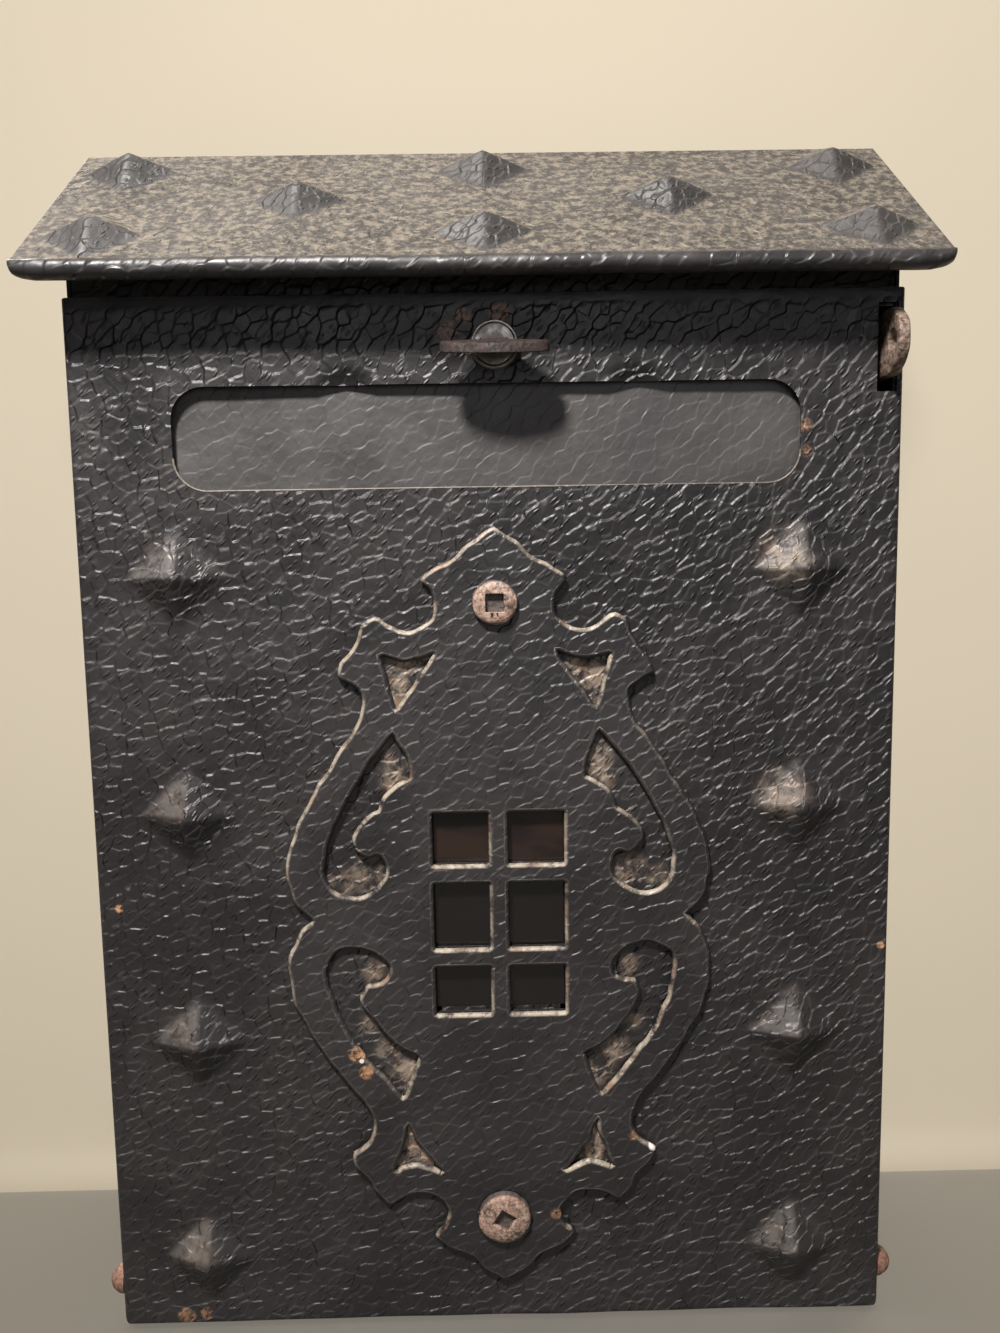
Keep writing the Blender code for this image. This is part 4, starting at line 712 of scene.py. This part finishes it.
def gap(point, start, end):
    """Distance from a point to a straight stretch."""
    px, pz = point[0] - start[0], point[1] - start[1]
    dx, dz = end[0] - start[0], end[1] - start[1]
    length = dx * dx + dz * dz
    share = max(0.0, min(1.0, (px * dx + pz * dz) / length)) if length else 0.0
    return math.hypot(px - share * dx, pz - share * dz)


def inset(outline, distance):
    """Outline moved toward its inside, whichever way round it runs, without points that come too near it."""
    area = sum(ax * bz - bx * az for (ax, az), (bx, bz) in zip(outline, outline[1:] + outline[:1]))
    sign = distance if area > 0 else -distance
    moved = []
    for before, here, after in zip(outline[-1:] + outline[:-1], outline, outline[1:] + outline[:1]):
        way = Vector(after) - Vector(before)
        if way.length > 1e-6:
            way.normalize()
            moved.append((here[0] - sign * way.y, here[1] + sign * way.x))
    around = list(zip(outline, outline[1:] + outline[:1]))
    return [point for point in moved
            if min(gap(point, start, end) for start, end in around) > 0.95 * abs(distance)]


def build_plate():
    """Plate with its pierced shapes and windows, and a round edge along each of them, pale on the side
    toward the lamp: part wear, part painted highlight.
    """
    half = [point for run in EDGE_RUNS for point in smooth_run(run, 5)]
    outline = [on_door(point) for point in half] + [on_door((0.0, 0.0))]
    outline += [on_door(point, -1) for point in half[:0:-1]]
    bm = bmesh.new()
    prism(bm, "Y", inset(outline, EDGE_INSET), PLATE_FACE, PLATE_BACK)
    plate = link("ornament", bm, [PLATE_PAINT], smooth=None)
    bm = bmesh.new()
    holes = [inset(shape, -EDGE_INSET)
             for shape in pierced_outlines() + [rounded(x, z, 0.6, 3) for x, z in window_spans()]]
    for hole in holes:
        prism(bm, "Y", hole, PLATE_FACE - 3, PLATE_BACK + 3)
    boolean(plate, bm)
    plate.data.set_sharp_from_angle(angle=math.radians(50))
    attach(plate, "door")
    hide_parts("ornament_plate")
    lip("plate_edge", [inset(outline, EDGE_INSET)] + holes, PLATE_FACE + EDGE_RADIUS - EDGE_PROUD,
        EDGE_RADIUS, EDGE_PAINT)


build_plate()


# Screws
def forged_screw(name, node, z, radius, turn, seed):
    """Hand-forged screw whose square recess is turned by an angle in degrees."""
    rough = Wobble(seed, 3.0, 0.8, 8)
    seat, crown, shank, tail = PLATE_FACE - 0.2, PLATE_FACE - SCREW_PROUD, 3.0, -10.3
    profile = [(0.0, crown), (radius * 0.45, crown), (radius * 0.68, crown + 0.15),
               (radius * 0.84, crown + 0.6), (radius * 0.95, crown + 1.3), (radius, crown + 2.1),
               (radius * 0.99, seat), (shank, seat), (shank, tail), (0.0, tail)]
    bm = bmesh.new()
    turned(bm, "Y", (OFFSET, z), profile, 64,
           lambda t, r, a: 1 + (0.018 * rough(t, a) if r > shank + 0.1 else 0))
    screw = link(name, bm, [SCREW_RUST])
    bm = bmesh.new()
    reach = RECESS / math.sqrt(2)
    square = [(OFFSET + reach * math.cos(math.radians(turn + 90 * k)),
               z + reach * math.sin(math.radians(turn + 90 * k))) for k in range(4)]
    prism(bm, "Y", square, crown - 2, crown + 2.0)
    boolean(screw, bm)
    bevel(screw, 0.25, 2, 50)
    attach(screw, "door")
    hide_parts(node)


forged_screw("upper_screw", "plate_screw_upper", PLATE_FOOT + 258.7, 8.0, 45, 3)
forged_screw("lower_screw", "plate_screw_lower", PLATE_FOOT + 27.6, 10.0, 12, 5)


# Roof
roof_dents = Wobble(19, 110.0, 30.0)
OFF = BEAD_RADIUS - 0.9
LINE_Y = BEAD_Y - OFF * math.sin(ROOF_LEAN)
LINE_Z = BEAD_Z + OFF * math.cos(ROOF_LEAN)


def roof_top(y):
    """Height of the bare roof line over a place between front and back."""
    return LINE_Z + (y - LINE_Y) * math.tan(ROOF_LEAN)


FRONT_Y = BEAD_Y - BEAD_RADIUS
LENGTH = (BACK_Y - FRONT_Y) / math.cos(ROOF_LEAN)
ROW_FRONT, ROW_REAR, ROOF_BOSS_X = 23.5, 18.8, 131.7
ROOF_ROWS = (ROW_FRONT, (ROW_FRONT + LENGTH - ROW_REAR) / 2, LENGTH - ROW_REAR)
THREE, TWO = (-ROOF_BOSS_X, 0.0, ROOF_BOSS_X), (-ROOF_BOSS_X / 2, ROOF_BOSS_X / 2)
ROOF_BOSSES = [(x, s) for s, line in zip(ROOF_ROWS, (THREE, TWO, THREE)) for x in line]


def roof_point(x, s, lift):
    """Place at s up the slope and lift off it."""
    y = FRONT_Y + s * math.cos(ROOF_LEAN) - lift * math.sin(ROOF_LEAN)
    return (x, y, roof_top(FRONT_Y) + s * math.sin(ROOF_LEAN) + lift * math.cos(ROOF_LEAN))


def roof_lift(x, s):
    """How far bosses, dents and rounded edges lift the roof off its plane."""
    up = sum(boss_height(x - bx, s - bs) for bx, bs in ROOF_BOSSES
             if abs(x - bx) < BOSS_REACH and abs(s - bs) < BOSS_REACH)
    calm = min(1.0, (ROOF_HALF - abs(x)) / 15.0, (LENGTH - s) / 15.0)
    up += 0.2 * roof_dents(x, s) * max(0.0, calm)
    for edge in (ROOF_HALF - abs(x), LENGTH - s):
        if edge < 0.5:
            up -= 0.5 - math.sqrt(max(0.0, 0.25 - (0.5 - edge) ** 2))
    return up


def build_roof():
    """Roof sheet and the rolled bead along its front."""
    xs = steps_between(-ROOF_HALF, ROOF_HALF, 1.6, (0.08, 0.25, 0.5))
    xs = [x for x in xs if all(abs(x - bx) > 0.6 for bx, _ in ROOF_BOSSES)]
    xs += sorted(set(bx for bx, _ in ROOF_BOSSES))
    ss = steps_between(4.4, LENGTH, 1.5, (0.08, 0.25, 0.5))
    ss = [s for s in ss if all(abs(s - bs) > 0.6 for _, bs in ROOF_BOSSES)] + list(ROOF_ROWS)
    bm = bmesh.new()
    slab(bm, sorted(xs), sorted(ss), lambda x, s: roof_point(x, s, roof_lift(x, s)),
         lambda x, s: roof_point(x, s, roof_lift(x, s) - SHEET))
    roof = link("roof_skin", bm, [ROOF_PAINT])

    ripple = Wobble(23, 60.0, 12.0)
    bm = bmesh.new()
    stations = steps_between(-ROOF_HALF, ROOF_HALF, 4.0, (0.15, 0.5, 1.0, 2.0, 3.0))
    rings, end_radius, sides = [], 1.4, 24
    for x in stations:
        share = min(1.0, (ROOF_HALF - abs(x)) / 10.0)
        swell = math.sqrt(1 - (1 - share) ** 2)
        radius = end_radius + (BEAD_RADIUS - end_radius) * swell
        radius *= 0.75 + 0.25 * min(1.0, (ROOF_HALF - abs(x)) / 0.8)
        centre = BEAD_Z + BEAD_RADIUS - radius + 0.10 * ripple(x, 0.0)
        circle = arc((BEAD_Y, centre), radius, 0, 360 - 360 / sides, sides - 1)
        rings.append([bm.verts.new((x, y, z)) for y, z in circle])
    for start, end in zip(rings, rings[1:]):
        for index in range(sides):
            after = (index + 1) % sides
            bm.faces.new((start[index], start[after], end[after], end[index]))
    bm.faces.new(rings[0])
    bm.faces.new(rings[-1])
    bead = link("roof_bead", bm, [BEAD_PAINT])
    for obj in (roof, bead):
        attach(obj, "cabinet")
        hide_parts("roof")


build_roof()


# Letter flap
def build_flap():
    """Letter flap with two rolled tabs that it hangs by."""
    dents = Wobble(31, 60.0, 18.0)
    low, high = FLAP_Z
    front, back = FLAP_Y
    slack, bore, barrel = 0.02, 1.3, 2.1
    bm = bmesh.new()
    slab(bm, steps_between(-FLAP_HALF, FLAP_HALF, 2.2), steps_between(low, high, 2.0),
         lambda x, z: (x, front + 0.12 * dents(x, z), z), lambda x, z: (x, back, z))
    for x in TAB_X:
        left, right = x - TAB_HALF, x + TAB_HALF
        slab(bm, steps_between(left, right, 1.6), steps_between(high - 1.0, TAB_TOP, 1.2),
             lambda u, z: (u, front + slack + 0.1 * dents(u, z), z), lambda u, z: (u, back - slack, z))
        turned(bm, "X", ((front + back) / 2, TAB_TOP), [(bore, left), (barrel, left), (barrel, right),
                                                        (bore, right), (bore, left)], 28)
    bmesh.ops.remove_doubles(bm, verts=bm.verts, dist=0.001)
    flap = link("flap_sheet", bm, [FLAP_PAINT])
    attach(flap, "flap")
    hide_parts("letter_flap")


build_flap()


# Lock
def build_lock():
    """Barrel, slotted plug and the bow-shaped wing that droops from it."""
    bm = bmesh.new()
    turned(bm, "Y", (LOCK_X, LOCK_Z), [(4.3, -19.0), (7.3, -19.0), (7.3, -20.4), (7.55, -20.5),
                                       (7.9, -20.45), (8.2, -20.1), (8.3, -19.6), (8.3, -18.1),
                                       (5.9, -18.1), (5.9, -13.0), (4.3, -13.0), (4.3, -19.0)], 56)
    bmesh.ops.remove_doubles(bm, verts=bm.verts, dist=0.001)
    barrel = link("barrel_ring", bm, [ZINC], body="door")
    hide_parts("lock_barrel")
    bm = bmesh.new()
    turned(bm, "Y", (LOCK_X, LOCK_Z), [(0.0, -20.8), (6.3, -20.8), (6.8, -20.7), (7.0, -20.4),
                                       (7.0, -19.3), (4.0, -19.3), (4.0, -13.0), (0.0, -13.0)], 56)
    plug = link("plug_face", bm, [ZINC])
    bm = bmesh.new()
    box(bm, (LOCK_X - 4.8, LOCK_X + 4.8), (-25.0, -19.8), (LOCK_Z - 1.7, LOCK_Z + 1.7))
    boolean(plug, bm)
    bevel(plug, 0.12, 2, 50)
    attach(plug, "lock")
    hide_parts("lock_plug")

    seat, droop, half_thick = -20.1, math.radians(16.0), 2.0
    middle, half_wide, half_deep = -10.1, 18.3, 6.5
    outline = [(5.5, -1.4), (-5.5, -1.4)]
    for index in range(49):
        turn = math.radians(150 + 240 * index / 48)
        outline.append((half_wide * math.cos(turn), middle + half_deep * math.sin(turn)))
    bm = bmesh.new()
    layers = [[bm.verts.new((LOCK_X + x, seat + out * math.cos(droop) + lift * math.sin(droop),
                             LOCK_Z + out * math.sin(droop) + lift * math.cos(droop)))
               for x, out in outline] for lift in (-half_thick, half_thick)]
    bm.faces.new(layers[0])
    bm.faces.new(layers[1])
    for index in range(len(outline)):
        after = (index + 1) % len(outline)
        bm.faces.new((layers[0][index], layers[0][after], layers[1][after], layers[1][index]))
    wing = link("wing_bow", bm, [WING_STEEL], smooth=None)
    bm = bmesh.new()
    box(bm, (LOCK_X - 4.5, LOCK_X + 4.5), (seat - 3.0, seat), (LOCK_Z - 1.4, LOCK_Z + 1.4))
    boolean(wing, bm, "UNION")
    bevel(wing, 0.55, 3, 40)
    wing.data.set_sharp_from_angle(angle=math.radians(60))
    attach(wing, "lock")
    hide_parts("lock_wing")


build_lock()


# Staple and rivets
def build_staple():
    """Padlock staple: a flat bar with a round nose and three holes."""
    rough, rear = Wobble(41, 14.0, 4.0, 8), 12.2
    nose = arc((STAPLE_TIP + STAPLE_RADIUS, STAPLE_Z), STAPLE_RADIUS, 90, 270, 40)
    nose = [(y + 0.15 * rough(y, z), z + 0.15 * rough(z, y)) for y, z in nose]
    corners = [(rear, STAPLE_Z - STAPLE_RADIUS), (rear, STAPLE_Z + STAPLE_RADIUS)]
    bm = bmesh.new()
    prism(bm, "X", nose + corners, *STAPLE_X)
    staple = link("staple_bar", bm, [STAPLE_RUST], smooth=None)
    bm = bmesh.new()
    for y, hole in ((-24.3, 3.4), (2.2, 2.1), (9.7, 2.1)):
        prism(bm, "X", arc((y, STAPLE_Z), hole, 0, 345, 23), 130.0, 150.0)
    boolean(staple, bm)
    bevel(staple, 0.7, 3, 50)
    staple.data.set_sharp_from_angle(angle=math.radians(60))
    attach(staple, "cabinet")
    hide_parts("padlock_staple")


def build_pivot(name, node, side):
    """Hinge rivet with a domed head outside and a low one inside."""
    rough = Wobble(50 + side, 4.0, 1.5, 8)
    inner, outer, shank, head, tall = 141.7, 145.2, 2.5, 5.6, 6.2
    dome = [(head * math.cos(math.radians(step)), outer + tall * math.sin(math.radians(step)))
            for step in (0, 12, 24, 36, 48, 60, 72, 82)]
    profile = [(0.0, inner - 2.4), (4.0, inner - 2.3), (4.4, inner - 1.8), (4.4, inner), (shank, inner),
               (shank, outer)] + dome + [(0.0, outer + tall)]
    bm = bmesh.new()
    turned(bm, "X", (PIVOT_Y, PIVOT_Z), [(radius, side * along) for radius, along in profile], 40,
           lambda t, r, a: 1 + (0.02 * rough(3 * t, a) if r > shank + 0.1 else 0))
    rivet = link(name, bm, [PIVOT_RUST], body="cabinet")
    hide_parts(node)


build_staple()
build_pivot("pivot_left", "hinge_rivet_left", -1)
build_pivot("pivot_right", "hinge_rivet_right", 1)


# Pieces kept from the part
KEPT = (
    (BODY_PAINT, ("body_shell", "body_floor", "front_rail", "pane_clip_left", "pane_clip_right",
                  "pane_clip_bottom", "flap_bracket_left", "flap_bracket_right")),
    (RUST, ("staple_rivet_front", "staple_rivet_rear", "plate_nut_upper", "plate_nut_lower")),
    (GLASS, ("window_pane",)),
    (ZINC, ("flap_pin_left", "flap_pin_right", "lock_nut", "lock_cam", "cam_screw")),
)
for mat, nodes in KEPT:
    for node in nodes:
        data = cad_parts[node].data
        data.materials.clear()
        data.materials.append(mat)


# Stage, light and camera
def plain(name, colour, rough, see_through=False):
    """Plain stage finish; a see-through one lets a view from behind look past it."""
    s = Shade(name)
    tone = s.mix(s.ramp(s.noise(3.0, 4.0), 0.3, 0.7), colour, [value * 0.96 for value in colour])
    mat = s.finish(tone, rough, 0.0, [(s.noise(700.0, 2.0), 0.01)])
    if see_through:
        clear = s.add("ShaderNodeBsdfTransparent")
        rear = s.add("ShaderNodeNewGeometry").outputs["Backfacing"]
        blend = s.add("ShaderNodeMixShader", {0: rear, 1: s.shader.outputs[0], 2: clear.outputs[0]})
        s.tree.links.new(blend.outputs[0], s.tree.nodes["Material Output"].inputs["Surface"])
    return mat


def stage():
    """Floor and wall in one sheet with a small cove between them, facing the camera."""
    reach, wall_y, wall_top, cove = 2500.0, 76.6, 1600.0, 16.0
    profile = [(-reach, 0.0), (-60.0, 0.0)]
    profile += arc((wall_y - cove, cove), cove, -90, 0, 6) + [(wall_y, wall_top)]
    bm = bmesh.new()
    rows = [[bm.verts.new((x, y, z)) for y, z in profile] for x in (-reach, reach)]
    for index in range(len(profile) - 1):
        bm.faces.new((rows[0][index], rows[1][index], rows[1][index + 1], rows[0][index + 1]))
    for face in bm.faces:
        face.material_index = 1 if face.calc_center_median().z < 0.5 else 0
    obj = link("floor_and_wall", bm, [plain("pale_wall", (0.72, 0.65, 0.54), 0.8, see_through=True),
                                      plain("pale_floor", (0.44, 0.42, 0.39), 0.7)], smooth=30)
    if obj.data.polygons[-1].normal.y > 0:
        obj.data.flip_normals()
    return obj


def lamp(name, place, target, size, power, colour=(1.0, 0.97, 0.93)):
    data = bpy.data.lights.new(name, "AREA")
    data.shape = "DISK"
    data.size = size
    data.energy = power
    data.color = colour
    obj = bpy.data.objects.new(name, data)
    obj.location = place
    obj.rotation_euler = (Vector(target) - Vector(place)).to_track_quat("-Z", "Y").to_euler()
    bpy.context.scene.collection.objects.link(obj)
    return obj


def shine_on(lamp_object, obj, state, through=False):
    """Lets a lamp light only this object (INCLUDE) or all but it (EXCLUDE).

    With through, the object also throws no shadow in that lamp's light."""
    group = bpy.data.collections.new(lamp_object.name + "_reach")
    group.objects.link(obj)
    lamp_object.light_linking.receiver_collection = group
    if through:
        lamp_object.light_linking.blocker_collection = group
    group.collection_objects[0].light_linking.link_state = state


backdrop = stage()
key = lamp("key", (-0.19, -0.46, 0.90), (0.0, 0.0, 0.25), 0.12, 17.5, (1.0, 0.955, 0.91))
shine_on(key, backdrop, "EXCLUDE")
fill = lamp("fill", (0.30, -1.30, 0.60), (0.0, 0.0, 0.3), 0.9, 3.4, (0.96, 0.95, 1.0))
shine_on(fill, backdrop, "EXCLUDE")
rear = lamp("rear", (-0.9, 1.3, 1.2), (0.0, 0.04, 0.25), 0.7, 30.0)
shine_on(rear, backdrop, "EXCLUDE", through=True)
wash = lamp("wall_wash", (-0.06, -1.30, 0.90), (0.04, 0.08, 0.44), 0.7, 6.8, (1.0, 0.955, 0.865))
shine_on(wash, backdrop, "INCLUDE")
wash.data.spread = math.radians(95)

world = bpy.data.worlds.new("studio")
world.use_nodes = True
background = world.node_tree.nodes["Background"]
background.inputs["Color"].default_value = (0.93, 0.92, 0.90, 1.0)
background.inputs["Strength"].default_value = 0.05
bpy.context.scene.world = world

camera_data = bpy.data.cameras.new("camera")
camera_data.lens = 26.0
camera_data.sensor_width = 36.0
camera_data.clip_start = 0.01
camera = bpy.data.objects.new("camera", camera_data)
CAMERA_PLACE = Vector((-0.00077, -0.3596, 0.2904))
PAN, TILT, ROLL = (math.radians(angle) for angle in (-0.63, -6.23, 0.94))
turn = Matrix.Rotation(PAN, 3, "Z") @ Matrix.Rotation(TILT, 3, "X") @ Matrix.Rotation(ROLL, 3, "Y")
right, ahead, up = turn.col
camera.matrix_world = Matrix.LocRotScale(CAMERA_PLACE, Matrix((right, up, -ahead)).transposed(), None)
bpy.context.scene.collection.objects.link(camera)
bpy.context.scene.camera = camera
bpy.context.scene.view_settings.view_transform = "Standard"
